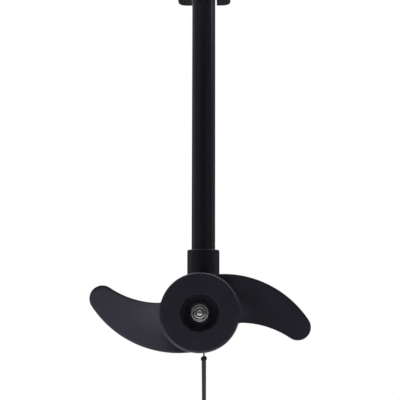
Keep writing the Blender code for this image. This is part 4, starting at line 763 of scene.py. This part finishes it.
def makeCan():
    low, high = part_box("motor_can")
    section = pipe(high.x - podShape["canWall"], high.x, low.y, high.y, podShape["seam"])
    turnedPiece("motorCan", "shaft", "motor_can", section, "Y", podLine, "large")


def makeRearCap():
    p, c = podShape, capShape
    low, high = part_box("rear_cap")
    radius = high.x
    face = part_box("motor_can")[0].y - clearance
    flange, edge = face - c["flange"], c["flangeEdge"]
    spigot = radius - p["canWall"] - clearance
    bore = spigot - p["spigotWall"]
    seal, bearing = low.y + c["sealDepth"], face - c["bearingDepth"]
    section = [(c["bore"], seal), (c["seal"], seal), (c["seal"], low.y, c["sealEdge"]),
               (c["boss"], low.y, c["bossEdge"]), (c["neck"], flange, edge), (radius, flange, edge),
               (radius, face, p["seam"]), (spigot, face), (spigot, high.y), (bore, high.y), (bore, face),
               (c["bearing"], face), (c["bearing"], bearing), (c["bore"], bearing)]
    cap = turnedShape(section, "Y", podLine, "large")
    sinks = []
    for name in ("through_bolt_upper", "through_bolt_lower"):
        boltLow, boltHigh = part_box(name)
        line = (boltLow + boltHigh) / 2
        sinks += [rod(c["sink"], "Y", line, low.y, boltLow.y + c["sinkDepth"]),
                  rod(c["bolt"], "Y", line, flange, high.y + past)]
    summedPiece("rearCap", "shaft", "rear_cap", cap, cuts=sinks)


# Skeg on the keel's bead
skegShape = {"thick": 0.0044, "bulb": 0.0033, "bead": 0.0021, "bulbRound": 0.0016, "bulbFore": 0.0004,
             "slot": 0.0011, "tipAft": 0.050, "tipFore": 0.062, "round": 0.005, "edge": 0.0009, "edgeSteps": 4,
             "pin": 0.001, "pinEdge": 0.0002}


def makeSkeg():
    s = skegShape
    low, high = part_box("skeg")
    keel, y = podLine.z - podShape["keelDrop"], shaftLine.y
    top = keel - (s["bead"] + s["bulb"]) / 2
    aft = y + podShape["keelAft"]
    outline = [(aft + clearance, top), (y + s["tipAft"], low.z, s["round"]), (y + s["tipFore"], low.z, s["round"]),
               (high.y - clearance, top)]
    half = s["thick"] / 2
    fin = slab(softCorners(outline, loop=True, steps=10), "X", -half, half, s["edge"], s["edgeSteps"])
    line = Vector((0, 0, keel))
    section = [(0, aft), (s["bulb"], aft, s["bulbRound"]), (s["bulb"], high.y, s["bulbFore"]), (0, high.y)]
    bulb = turnedShape(section, "Y", line, soft=6)
    stop, fore = aft + podShape["keelStop"] - clearance, high.y + past
    cuts = (rod(s["bead"], "Y", line, stop, fore),
            brick((-s["slot"], stop, keel), (s["slot"], fore, keel + 2 * s["bulb"])))
    summedPiece("skegFin", "shaft", "skeg", fin, (bulb,), cuts, finish="skegMould")
    low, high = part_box("skeg_pin")
    line = Vector((0, (low.y + high.y) / 2, keel))
    dressed(rod(s["pin"], "X", line, -s["bulb"], s["bulb"], edge=s["pinEdge"]), "skegPin", "shaft", "skeg_pin")


# Propeller: drum hub with a dished face and two swept blades
hubShape = {"radius": 0.041, "rim": 0.0416, "wall": 0.004, "face": 0.005, "edge": 0.0028, "frontEdge": 0.001,
            "dish": 0.0200, "dishFloor": 0.0112, "dishDepth": 0.0145, "boss": 0.011, "bossGap": 0.0009,
            "floor": 0.008, "bore": 0.0043, "boreEdge": 0.0004, "pin": 0.0018, "slotHalf": 0.0125, "pinTurn": -7,
            "length": 0.046, "lip": 0.0006, "steep": 0.0055, "draft": 0.0012, "swell": 0.016, "bowl": 0.0045,
            "slotRise": 0.0048, "slotDepth": 0.0062}
bladeShape = {"count": 2, "pitch": 0.126, "tipReach": 0.10207, "tipTurn": 171.9, "tipRadius": 0.0135,
              "leadArc": 0.1069, "leadRoot": 259.4, "trailArc": 0.0925, "trailRoot": 165.9, "rootThick": 0.0056,
              "tipThick": 0.0034, "thinFrom": 5, "sink": 0.003, "aft": 0.005, "camber": 0.62, "grow": 0.00035,
              "fillet": 0.0014, "filletReach": 0.0034, "along": 44, "crowding": 1.4, "round": 16, "across": 28}


def meetingPoint(first, firstReach, second, secondReach):
    # on the right of the way from the first point to the second
    gap = second - first
    along = (firstReach ** 2 - secondReach ** 2 + gap.length_squared) / (2 * gap.length)
    across = sqrt(firstReach ** 2 - along ** 2)
    way = gap.normalized()
    return first + way * along + Vector((way.y, -way.x)) * across


def bladeEdges():
    # leading and trailing edge as (reach, turn) from hub to tip
    b = bladeShape
    turn = radians(b["tipTurn"])
    tip = Vector((cos(turn), sin(turn))) * b["tipReach"]
    edges, ends = [], []
    for root, radius, side in ((b["leadRoot"], b["leadArc"], -1), (b["trailRoot"], b["trailArc"], 1)):
        start = Vector((cos(radians(root)), sin(radians(root)))) * hubShape["radius"]
        centre = meetingPoint(start, radius, tip, radius + side * b["tipRadius"])
        touch = tip + (centre - tip).normalized() * side * b["tipRadius"]
        begin = atan2(start.y - centre.y, start.x - centre.x)
        stop = atan2(touch.y - centre.y, touch.x - centre.x)
        shares = [(i / b["along"]) ** b["crowding"] for i in range(b["along"] + 1)]
        turns = [begin + (stop - begin) * share for share in shares]
        edges.append([centre + Vector((cos(a), sin(a))) * (radius - side * b["grow"]) for a in turns])
        ends.append(atan2(touch.y - tip.y, touch.x - tip.x) % (2 * pi))
    apex, reach = sum(ends) / 2, b["tipRadius"] + b["grow"]
    shares = [sin(pi / 2 * i / b["round"]) for i in range(1, b["round"] + 1)]
    for edge, end in zip(edges, ends):
        turns = [end + (apex - end) * share for share in shares]
        edge += [tip + Vector((cos(a), sin(a))) * reach for a in turns]
    return edges


def bladeMesh():
    # constant pitch, lens section, and a fillet that spreads into the hub
    b = bladeShape
    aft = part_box("propeller")[0].y + b["aft"]
    radius = hubShape["radius"]
    lead, trail = bladeEdges()
    rows = [[edge[0].normalized() * (radius - b["sink"]) for edge in (lead, trail)]]
    rows += list(zip(lead, trail))
    bm = bmesh.new()
    grid = []
    for n, (front, back) in enumerate(rows):
        thick = b["rootThick"] + (b["tipThick"] - b["rootThick"]) * n / (len(rows) - 1)
        chord = (front - back).length
        taper = min(1.0, chord / (b["thinFrom"] * thick)) ** 0.5
        reachOne, reachTwo = front.length, back.length
        turnOne, turnTwo = [atan2(p.y, p.x) % (2 * pi) for p in (front, back)]
        row = []
        for j in range(b["across"] + 1):
            share = (1 - cos(pi * j / b["across"])) / 2
            reach = reachOne + (reachTwo - reachOne) * share
            spread = b["fillet"] * max(0.0, 1 - max(0.0, reach - radius) / b["filletReach"]) ** 2
            turn = turnOne + (turnTwo - turnOne) * share + (1 - 2 * share) * spread / reach
            half = thick / 2 * sqrt(max(0.0, 1 - (2 * share - 1) ** 2)) * taper
            half += spread * (4 * share * (1 - share)) ** 0.5
            bowed = share - b["camber"] * share * (1 - share)     # hollow on the face that drives
            advance = turnOne + (turnTwo - turnOne) * bowed - radians(b["trailRoot"])
            y = aft + b["pitch"] * advance / (2 * pi)
            x, z = reach * cos(turn), podLine.z + reach * sin(turn)
            row.append((bm.verts.new((x, y + half, z)), bm.verts.new((x, y - half, z))))
        grid.append(row)
    for lower, upper in zip(grid, grid[1:]):
        for j in range(b["across"]):
            for k in (0, 1):
                bm.faces.new((lower[j][k], lower[j + 1][k], upper[j + 1][k], upper[j][k]))
    for j in range(b["across"]):
        bm.faces.new((grid[0][j][0], grid[0][j + 1][0], grid[0][j + 1][1], grid[0][j][1]))
    bmesh.ops.remove_doubles(bm, verts=bm.verts, dist=meshing["merge"])
    bmesh.ops.dissolve_degenerate(bm, edges=bm.edges, dist=meshing["merge"])
    bmesh.ops.recalc_face_normals(bm, faces=bm.faces)
    return bm


def makePropeller():
    h = hubShape
    rear, radius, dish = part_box("propeller")[0].y, h["rim"], h["dish"]
    front, floor, back = rear + h["length"], rear + h["dishDepth"], rear + h["face"]
    floorBack, bossEnd = floor + h["floor"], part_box("rear_cap")[0].y - h["bossGap"]
    inner = radius - h["wall"]
    section = [(h["bore"], bossEnd), (h["bore"], floor, h["boreEdge"]), (h["dishFloor"], floor, h["bowl"]),
               (dish - h["draft"], rear + h["steep"], h["swell"]), (dish, rear, h["lip"]), (radius, rear, h["edge"]),
               (radius, front, h["frontEdge"]), (inner, front), (inner, back), (dish + h["wall"], back),
               (h["dishFloor"] + h["wall"], floorBack), (h["boss"], floorBack), (h["boss"], bossEnd)]
    hub = turnedShape(section, "Y", podLine, "large", soft=8)
    blades = rawObject("blades", bladeMesh())
    runTree(blades, ringOfCopies, {"Count": bladeShape["count"], "Centre": podLine, "Axis": (0, -1, 0),
                                   "Finish": finishes["propMould"]})
    half = h["pin"] + clearance
    slot = brick((-h["slotHalf"], floor - h["slotRise"], podLine.z - half),
                 (h["slotHalf"], floor + h["slotDepth"], podLine.z + half))
    bmesh.ops.rotate(slot, verts=slot.verts, cent=podLine, matrix=Matrix.Rotation(-radians(h["pinTurn"]), 3, "Y"))
    summedPiece("twoBladePropeller", "rotor", "propeller", hub, (takeMesh(blades),), (slot,), finish="propMould")


# Nut, washer and the threaded end of the drive shaft
nutShape = {"hex": 0.0075, "hexLength": 0.0052, "chamfer": 0.0018, "collar": 0.0059, "bore": 0.0047, "lip": 0.0003,
            "lean": 0.00021, "washer": 0.0092, "washerEdge": 0.0003, "washerRound": 0.0005, "thread": 0.0037,
            "shaft": 0.005, "shaftEdge": 0.0004, "shaftGap": 0.0006, "endFlat": 0.0012, "endRound": 0.0008,
            "endReach": 0.0033, "reachRound": 0.0006, "endBevel": 0.00034}


def makePropHardware():
    n = nutShape
    bore = n["bore"]
    low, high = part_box("prop_washer")
    section = [(bore, low.y, n["washerEdge"]), (n["washer"], low.y, n["washerRound"]),
               (n["washer"], high.y, n["washerEdge"]), (bore, high.y)]
    turnedPiece("propWasher", "rotor", "prop_washer", section, "Y", podLine, "medium")
    low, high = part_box("prop_nut")
    hexLow, soft = high.y - n["hexLength"], n["lip"] / 2
    nut = hexNut("propNut", "Y", podLine, n["hex"], hexLow, high.y, bore, n["collar"], n["chamfer"])
    seat = hexLow + n["lip"]
    collar = [(bore, low.y, soft), (n["collar"], low.y + n["lean"], soft), (n["collar"], seat), (bore, seat)]
    ring = turnedShape(collar, "Y", podLine, "medium", soft=8)
    summedPiece("propNut", "rotor", "prop_nut", takeMesh(nut), (ring,))
    low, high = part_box("drive_shaft")
    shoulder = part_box("rear_cap")[0].y - n["shaftGap"]
    bevel, edge = n["endBevel"], n["shaftEdge"]
    shape = [(0, low.y), (n["endFlat"], low.y, n["endRound"]), (n["endReach"], low.y + bevel, n["reachRound"]),
             (n["thread"], low.y + 4 * bevel, edge), (n["thread"], shoulder), (n["shaft"], shoulder, edge),
             (n["shaft"], high.y, edge), (0, high.y)]
    turnedPiece("driveShaft", "rotor", "drive_shaft", shape, "Y", podLine, "medium", soft=8)


# Head: tray, domed cover, screws and cable gland
headShape = {"halfX": 0.046, "halfY": 0.072, "forward": 0.014, "corner": 0.022, "cornerSteps": 14, "wall": 0.003,
             "base": 0.040, "fold": 2.6, "bottomRound": 0.010, "innerRound": 0.006, "lipEdge": 0.0008, "boss": 0.021,
             "bossLength": 0.034, "bossEdge": 0.002, "bossNeck": 0.004, "neckRound": 0.003, "bossFlare": 0.005,
             "flareIn": 0.001, "socket": 0.010, "tube": 0.0143, "tubeStop": 0.0025, "eyeHalf": 0.0146, "lug": 0.007,
             "lugRadius": 0.012, "lugEdge": 0.0014, "lugSteps": 24, "pivotHole": 0.0043, "gland": 0.0068,
             "glandHeight": 0.020}
coverShape = {"height": 0.030, "sideRound": 0.014, "crownRound": 0.020, "crownIn": 1.8, "screwIn": 0.022,
              "screwHead": 0.0039, "screwSink": 0.0022, "screwHole": 0.0023, "headHeight": 0.0019, "shank": 0.002,
              "shankEdge": 0.0005, "headDrop": 0.0002, "headEdge": 0.0008, "crossWide": 0.0005, "crossLong": 0.0022,
              "crossDeep": 0.0011}


def headOutline(inset):
    h = headShape
    points = []
    for k, (sx, sy) in enumerate(((1, 1), (-1, 1), (-1, -1), (1, -1))):
        centre = (sx * (h["halfX"] - h["corner"]), shaftLine.y + h["forward"] + sy * (h["halfY"] - h["corner"]))
        points += arcPoints(centre, h["corner"] - inset, k * pi / 2, (k + 1) * pi / 2, h["cornerSteps"])
    return points


def makeHeadBase():
    h = headShape
    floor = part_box("head_base")[0].z + h["bossLength"]
    wall, top, lip, radius = h["wall"], floor + h["base"], h["lipEdge"], h["boss"]
    foldIn = h["fold"] * wall
    tray = stackedShape(headOutline, [(foldIn, floor), (0, floor, h["bottomRound"]), (0, top, lip), (wall, top, lip),
                                      (wall, floor + wall, h["innerRound"]), (foldIn, floor + wall)])
    bottom, flared, crown = floor - h["bossLength"], radius + h["bossFlare"], floor + h["socket"] + wall
    boss = [(0, bottom), (radius, bottom, h["bossEdge"]), (radius, floor - h["bossNeck"], h["neckRound"]),
            (flared, floor + h["flareIn"]), (flared, floor + wall), (radius, floor + wall), (radius, crown), (0, crown)]
    joins = [turnedShape(boss, "Z", shaftLine, "medium")]
    pivot, reach = (tillerLine.y, tillerLine.z), h["lugRadius"]
    root = shaftLine.y + h["forward"] + h["halfY"] - wall / 2
    lug = [Vector((root, pivot[1] + reach)), Vector((root, pivot[1] - reach))]
    lug += arcPoints(pivot, reach, -pi / 2, pi / 2, h["lugSteps"])
    for start in (h["eyeHalf"], -h["eyeHalf"] - h["lug"]):
        joins.append(slab(lug, "X", start, start + h["lug"], h["lugEdge"]))
    out = h["eyeHalf"] + 2 * h["lug"]
    back = shaftLine.y + h["forward"] - h["halfY"]
    glandLine = Vector((0, 0, floor + h["glandHeight"]))
    cuts = [rod(h["tube"], "Z", shaftLine, bottom - past, floor + h["socket"]),
            rod(h["tube"] - h["tubeStop"], "Z", shaftLine, floor, floor + h["socket"] + 2 * wall),
            rod(h["pivotHole"], "X", tillerLine, -out, out),
            rod(h["gland"], "Y", glandLine, back - wall, back + 2 * wall)]
    summedPiece("headBase", "shaft", "head_base", tray, joins, cuts)


def makeHeadCover():
    h, c = headShape, coverShape
    low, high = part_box("head_cover")
    wall, crown = h["wall"], c["height"] / 3
    sunk = high.z - c["screwSink"]
    ceiling = high.z - wall - c["screwSink"]
    lid = stackedShape(headOutline, [(2 * wall, ceiling), (wall, low.z), (0, low.z, h["lipEdge"]),
                                     (0, high.z - crown, c["sideRound"]), (crown, high.z, c["crownRound"]),
                                     (c["crownIn"] * crown, high.z)], soft=10)
    reach = h["halfY"] - c["screwIn"]
    places = [Vector((0, shaftLine.y + h["forward"] + side * reach, 0)) for side in (-1, 1)]
    cuts = []
    for place in places:
        cuts += [rod(c["screwHead"], "Z", place, sunk, high.z + past),
                 rod(c["screwHole"], "Z", place, ceiling - past, high.z)]
    summedPiece("headCover", "shaft", "head_cover", lid, cuts=cuts)
    for place, node in zip(places, ("cover_screw_aft", "cover_screw_fore")):
        makeCoverScrew(place, node)


def makeCoverScrew(place, node):
    c = coverShape
    low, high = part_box(node)
    head, under = (high.y - low.y) / 2, high.z - c["headHeight"]
    section = [(0, low.z), (c["shank"], low.z, c["shankEdge"]), (c["shank"], under), (head, under),
               (head, high.z - c["headDrop"], c["headEdge"]), (0, high.z)]
    cross = (c["crossWide"], c["crossLong"])
    arms = [brick((-wide, place.y - long, high.z - c["crossDeep"]), (wide, place.y + long, high.z + past))
            for wide, long in (cross, cross[::-1])]
    name = "coverScrew" + node.rsplit("_", 1)[1].capitalize()
    summedPiece(name, "shaft", node, turnedShape(section, "Z", place), cuts=arms)


glandShape = {"length": 0.020, "ribs": 16, "rib": 0.0007, "ribFrom": 0.0012, "ribTo": 0.0095, "ribRise": 0.8,
              "ribEdge": 0.0003, "hole": 0.0045, "holeEdge": 0.0006, "thread": 0.0065, "nut": 0.010,
              "nutEdge": 0.0012, "domeEdge": 0.0010}


def makeGland():
    g = glandShape
    low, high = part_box("cable_gland")
    line = Vector((0, 0, (low.z + high.z) / 2))
    outer, rib = high.x - g["rib"], g["rib"]
    back = low.y + g["length"] - clearance
    section = [(g["hole"], high.y), (g["thread"], high.y, g["holeEdge"]), (g["thread"], back),
               (outer, back, g["nutEdge"]), (outer, back - g["nut"], g["domeEdge"]),
               (g["thread"], low.y, g["domeEdge"]), (g["hole"], low.y, g["holeEdge"])]
    turnedPiece("cableGland", "shaft", "cable_gland", section, "Y", line, "medium")
    ribs = rawObject("glandRibs", brick((-rib, back - g["ribTo"], line.z + outer - rib),
                                        (rib, back - g["ribFrom"], line.z + outer + rib * g["ribRise"]), g["ribEdge"]))
    runTree(ribs, ringOfCopies, {"Count": g["ribs"], "Centre": line, "Axis": (0, 1, 0), "Finish": finishes["darkNylon"]})
    finishPiece(ribs, "glandRibs", "shaft", finishes["darkNylon"], "dark_nylon")


# Tiller: arm with a groove near its end, pivot pin, extension, grip core and sleeve
tillerShape = {"arm": 0.0130, "armLength": 0.190, "groove": (0.022, 0.0205, 0.018, 0.0165), "grooveDepth": 0.0008,
               "grooveRound": 0.001, "endEdge": 0.0015, "eye": 0.0135, "eyeHalf": 0.014, "eyeEdge": 0.0012,
               "bore": 0.0098, "floor": 0.0195, "pinHole": 0.0046, "pinReach": 0.03, "wall": 0.0016,
               "wallEdge": 0.0003}
gripShape = {"wall": 0.0035, "depth": 0.1123, "core": 0.0058, "coreFrom": 0.005, "mouthEdge": 0.0006,
             "endRound": 0.004, "socketHalf": 0.0031, "ribs": 22, "ribDepth": 0.0012, "ribSteps": 10, "ribSharp": 0.7,
             "bulge": 0.0006, "fade": 14}


def makeTiller():
    t = tillerShape
    y, arm, soft = tillerLine.y, t["arm"], t["grooveRound"]
    end, neck = y + t["armLength"], arm - t["grooveDepth"]
    section = [(0, y), (arm, y)]
    section += [(across, end - back, soft) for across, back in zip((arm, neck, neck, arm), t["groove"])]
    section += [(arm, end, t["endEdge"]), (0, end)]
    bar = turnedShape(section, "Y", tillerLine, "medium")
    eye = rod(t["eye"], "X", tillerLine, -t["eyeHalf"], t["eyeHalf"], "medium", t["eyeEdge"])
    cuts = (rod(t["bore"], "Y", tillerLine, y + t["floor"], end + past),
            rod(t["pinHole"], "X", tillerLine, -t["pinReach"], t["pinReach"]))
    summedPiece("tillerArm", "tiller", "tiller_arm", bar, (eye,), cuts)
    low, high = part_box("tiller_pivot_pin")
    pin = headedPin(low, high, -high.x, pinShapes["tiller"])
    turnedPiece("tillerPivotPin", "shaft", "tiller_pivot_pin", pin, "X", tillerLine)
    low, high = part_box("tiller_extension")
    tube = pipe(high.x - t["wall"], high.x, low.y, high.y, t["wallEdge"])
    turnedPiece("tillerExtension", "extension", "tiller_extension", tube, "Y", tillerLine, "medium")


def makeGrip():
    g = gripShape
    low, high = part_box("twist_grip")
    outer, half = high.x, g["socketHalf"]
    bore, start, wall = outer - g["wall"], low.y + g["coreFrom"], low.y + g["depth"]
    core = [(0, start), (g["core"], start), (g["core"], wall), (bore, wall), (bore, low.y),
            (outer, low.y, g["mouthEdge"]), (outer, high.y, g["endRound"]), (0, high.y)]
    cap = turnedShape(core, "Y", tillerLine, "medium")
    socket = brick((-half, low.y, tillerLine.z - half), (half, wall, tillerLine.z + half))
    summedPiece("twistGrip", "grip", "twist_grip", cap, cuts=(socket,), flatten=False)
    low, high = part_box("grip_sleeve")
    inner, full, length = outer + clearance, high.x, high.y - low.y
    section = [(inner, low.y)]
    steps = g["ribs"] * g["ribSteps"]
    for i in range(steps + 1):
        share = i / steps
        bulge = g["bulge"] * sin(pi * share)
        crest = abs(sin(pi * share * g["ribs"])) ** g["ribSharp"]
        flat = min(1.0, share * g["fade"], (1 - share) * g["fade"])
        section.append((full - g["bulge"] - g["ribDepth"] * (1 - crest * flat) + bulge, low.y + length * share))
    section.append((inner, high.y))
    turnedPiece("gripSleeve", "grip", "grip_sleeve", section, "Y", tillerLine, "medium", soft=0)


ringOfCopies = ringTree()
windThread = threadTree()
makeShaft()
makeCollar()
makeSwivel()
print("shaft, bushes, collar and swivel made")
makeStudKnob("tensionKnob", "tension_knob", "tension", "X", 1, Vector(joints["tension_turn"]["pos_m"]))
makeStudKnob("collarKnob", "collar_knob", "collar_lock", "Y", -1, Vector(joints["collar_turn"]["pos_m"]))
for clampSide in ("left", "right"):
    makeClamp(clampSide, clampSide + "_screw", clampSide + "_pad")
makeBracket()
makeHingeBolt()
print("bracket, clamps and knobs made")
makeFrontHousing()
makeCan()
makeRearCap()
makeSkeg()
print("pod and skeg made")
makePropeller()
makePropHardware()
print("propeller made")
makeHeadBase()
makeHeadCover()
makeGland()
makeTiller()
makeGrip()
print("head and tiller made")

# Camera at the photograph's place: dead astern, a little below the propeller's axis, looking slightly up
cameraView = {"offset": (0.0303, -1.3977, -0.0291), "yaw": -1.411, "pitch": 6.817, "roll": 0.127, "focal": 1180.6,
              "image": 400, "sensor": 36, "clip": (0.05, 60)}


def makeCamera():
    c = cameraView
    yaw, pitch, roll = (radians(c[key]) for key in ("yaw", "pitch", "roll"))
    forward = Vector((sin(yaw) * cos(pitch), cos(yaw) * cos(pitch), sin(pitch)))
    right = Vector((cos(yaw), -sin(yaw), 0))
    up = right.cross(forward)
    right, up = right * cos(roll) + up * sin(roll), up * cos(roll) - right * sin(roll)
    data = bpy.data.cameras.new("sternCamera")
    data.sensor_width = c["sensor"]
    data.lens = c["sensor"] * c["focal"] / c["image"]
    data.clip_start, data.clip_end = c["clip"]
    camera = bpy.data.objects.new("sternCamera", data)
    place = Vector((shaftLine.x, shaftLine.y, podLine.z)) + Vector(c["offset"])
    turn = Matrix((right, up, -forward)).transposed().to_4x4()
    camera.matrix_world = Matrix.Translation(place) @ turn
    bpy.context.scene.collection.objects.link(camera)
    bpy.context.scene.camera = camera


# Floor that looks plain to the camera but glows in a graded pool for reflections, and light graded round the part:
# ring and below go by the turn from astern, front and back by height, with more from the left and a strip overhead
studio = {"floorDrop": 0.230, "floorRadius": 1.83, "floorThick": 0.01, "floorBack": 0.80, "floorTone": 0.80,
          "floorShade": 0.98, "floorCloud": 0.8, "floorDetail": 2.0, "floorSpan": (0.3, 0.7), "floorRough": 0.9,
          "floorSeen": 0.72, "pool": (-0.11, -0.05),
          "floorGlow": ((0.00, 0.46), (0.30, 0.72), (0.44, 0.30), (0.60, 0.11), (0.87, 0.10), (1.03, 0.20),
                        (1.31, 0.50), (1.83, 0.20)),
          "ring": ((0.0, 0.080), (0.09, 0.095), (0.17, 0.145), (0.25, 0.205), (0.50, 0.235), (0.56, 0.40),
                   (0.66, 0.40), (0.72, 0.10), (1.0, 0.10)),
          "below": ((0.0, 0.045), (0.20, 0.045), (0.36, 0.25), (0.88, 0.28), (0.96, 0.07), (1.0, 0.05)),
          "front": ((0.0, 0.07), (0.20, 0.10), (0.30, 0.44), (0.38, 0.48), (0.50, 0.15), (0.64, 0.12), (0.80, 0.10),
                    (0.93, 0.60), (1.0, 1.30)),
          "back": ((0.0, 0.06), (0.30, 0.40), (0.50, 0.90), (0.75, 1.10), (0.93, 1.20), (1.0, 1.30)),
          "belowSpan": (-0.20, -0.02), "backSpan": (-0.40, 0.10), "upperSpan": (0.18, 0.30), "leftward": 0.15,
          "strip": 3.6, "stripHalf": 0.12, "stripCore": 0.5, "stripFrom": -0.35, "stripTo": 1.2, "stripFade": 0.2}


def levelRamp(tree, share, stops):
    return rampOf(tree, share, [(at, [level] * 3) for at, level in stops])


def makeFloor():
    s = studio
    low, radius = cadBox[0].z - s["floorDrop"], s["floorRadius"]
    line = Vector((0, shaftLine.y - s["floorBack"], 0))
    section = [(0, low - s["floorThick"]), (radius, low - s["floorThick"]), (radius, low), (0, low)]
    floor = rawObject("paleFloor", turnedShape(section, "Z", line, "large", soft=0))
    material, tree, shader = startMaterial("paleFloor")
    tone = Vector([s["floorTone"]] * 3)
    cloud = noiseOf(tree, s["floorCloud"], s["floorDetail"])
    tones = rampOf(tree, cloud, list(zip(s["floorSpan"], (tone * s["floorShade"], tone))))
    tree.links.new(tones, shader.inputs["Base Color"])
    shader.inputs["Roughness"].default_value = s["floorRough"]
    place = addNode(tree, "TexCoord").outputs["Object"]
    middle = (s["pool"][0], s["pool"][1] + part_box("propeller")[0].y, low)
    reach = addNode(tree, "VectorMath", {0: place, 1: middle}, operation="DISTANCE").outputs["Value"]
    reach = mathOf(tree, "MULTIPLY", reach, 1 / radius)
    glow = levelRamp(tree, reach, [(at / radius, level) for at, level in s["floorGlow"]])
    rays = addNode(tree, "LightPath").outputs["Is Camera Ray"]
    tree.links.new(mixOf(tree, rays, glow, [s["floorSeen"]] * 3 + [1]), shader.inputs["Emission Color"])
    shader.inputs["Emission Strength"].default_value = 1.0
    floor.data.materials.append(material)


def makeWorld():
    s = studio
    world = bpy.data.worlds.new("studio")
    world.use_nodes = True
    tree = world.node_tree
    tree.nodes.clear()
    way = addNode(tree, "TexCoord").outputs["Generated"]
    axes = addNode(tree, "SeparateXYZ", {"Vector": way}).outputs
    turn = mathOf(tree, "ARCTAN2", axes["X"], mathOf(tree, "MULTIPLY", axes["Y"], -1.0))
    share = mathOf(tree, "DIVIDE", mathOf(tree, "ABSOLUTE", turn), pi)
    ring, below = levelRamp(tree, share, s["ring"]), levelRamp(tree, share, s["below"])
    band = mixOf(tree, rangeOf(tree, axes["Z"], s["belowSpan"]), below, ring)
    front, behind = levelRamp(tree, axes["Z"], s["front"]), levelRamp(tree, axes["Z"], s["back"])
    upper = mixOf(tree, rangeOf(tree, axes["Y"], s["backSpan"]), front, behind)
    blend = mixOf(tree, rangeOf(tree, axes["Z"], s["upperSpan"]), band, upper)
    sides = [addNode(tree, "VectorMath", {0: blend, 1: [level] * 3}, operation="MULTIPLY").outputs[0]
             for level in (1 + s["leftward"], 1 - s["leftward"])]
    blend = mixOf(tree, rangeOf(tree, axes["X"], (-1.0, 1.0)), *sides)
    lean = mathOf(tree, "ARCTAN2", axes["X"], axes["Z"])
    strip = rangeOf(tree, mathOf(tree, "ABSOLUTE", axes["Y"]), (s["stripHalf"], s["stripHalf"] * s["stripCore"]))
    for end, fade in ((s["stripFrom"], -s["stripFade"]), (s["stripTo"], s["stripFade"])):
        strip = mathOf(tree, "MULTIPLY", strip, rangeOf(tree, lean, (end + fade, end)))
    blend = mixOf(tree, strip, blend, [s["strip"]] * 3 + [1])
    lit, seen = (addNode(tree, "Background", {"Color": colour, "Strength": 1.0}).outputs[0]
                 for colour in (blend, (1, 1, 1, 1)))
    rays = addNode(tree, "LightPath").outputs["Is Camera Ray"]
    both = addNode(tree, "MixShader", {0: rays, 1: lit, 2: seen})
    addNode(tree, "OutputWorld", {"Surface": both.outputs[0]})
    bpy.context.scene.world = world


makeCamera()
makeFloor()
makeWorld()
bpy.context.scene.view_settings.view_transform = "Standard"
print("camera, floor and light made")
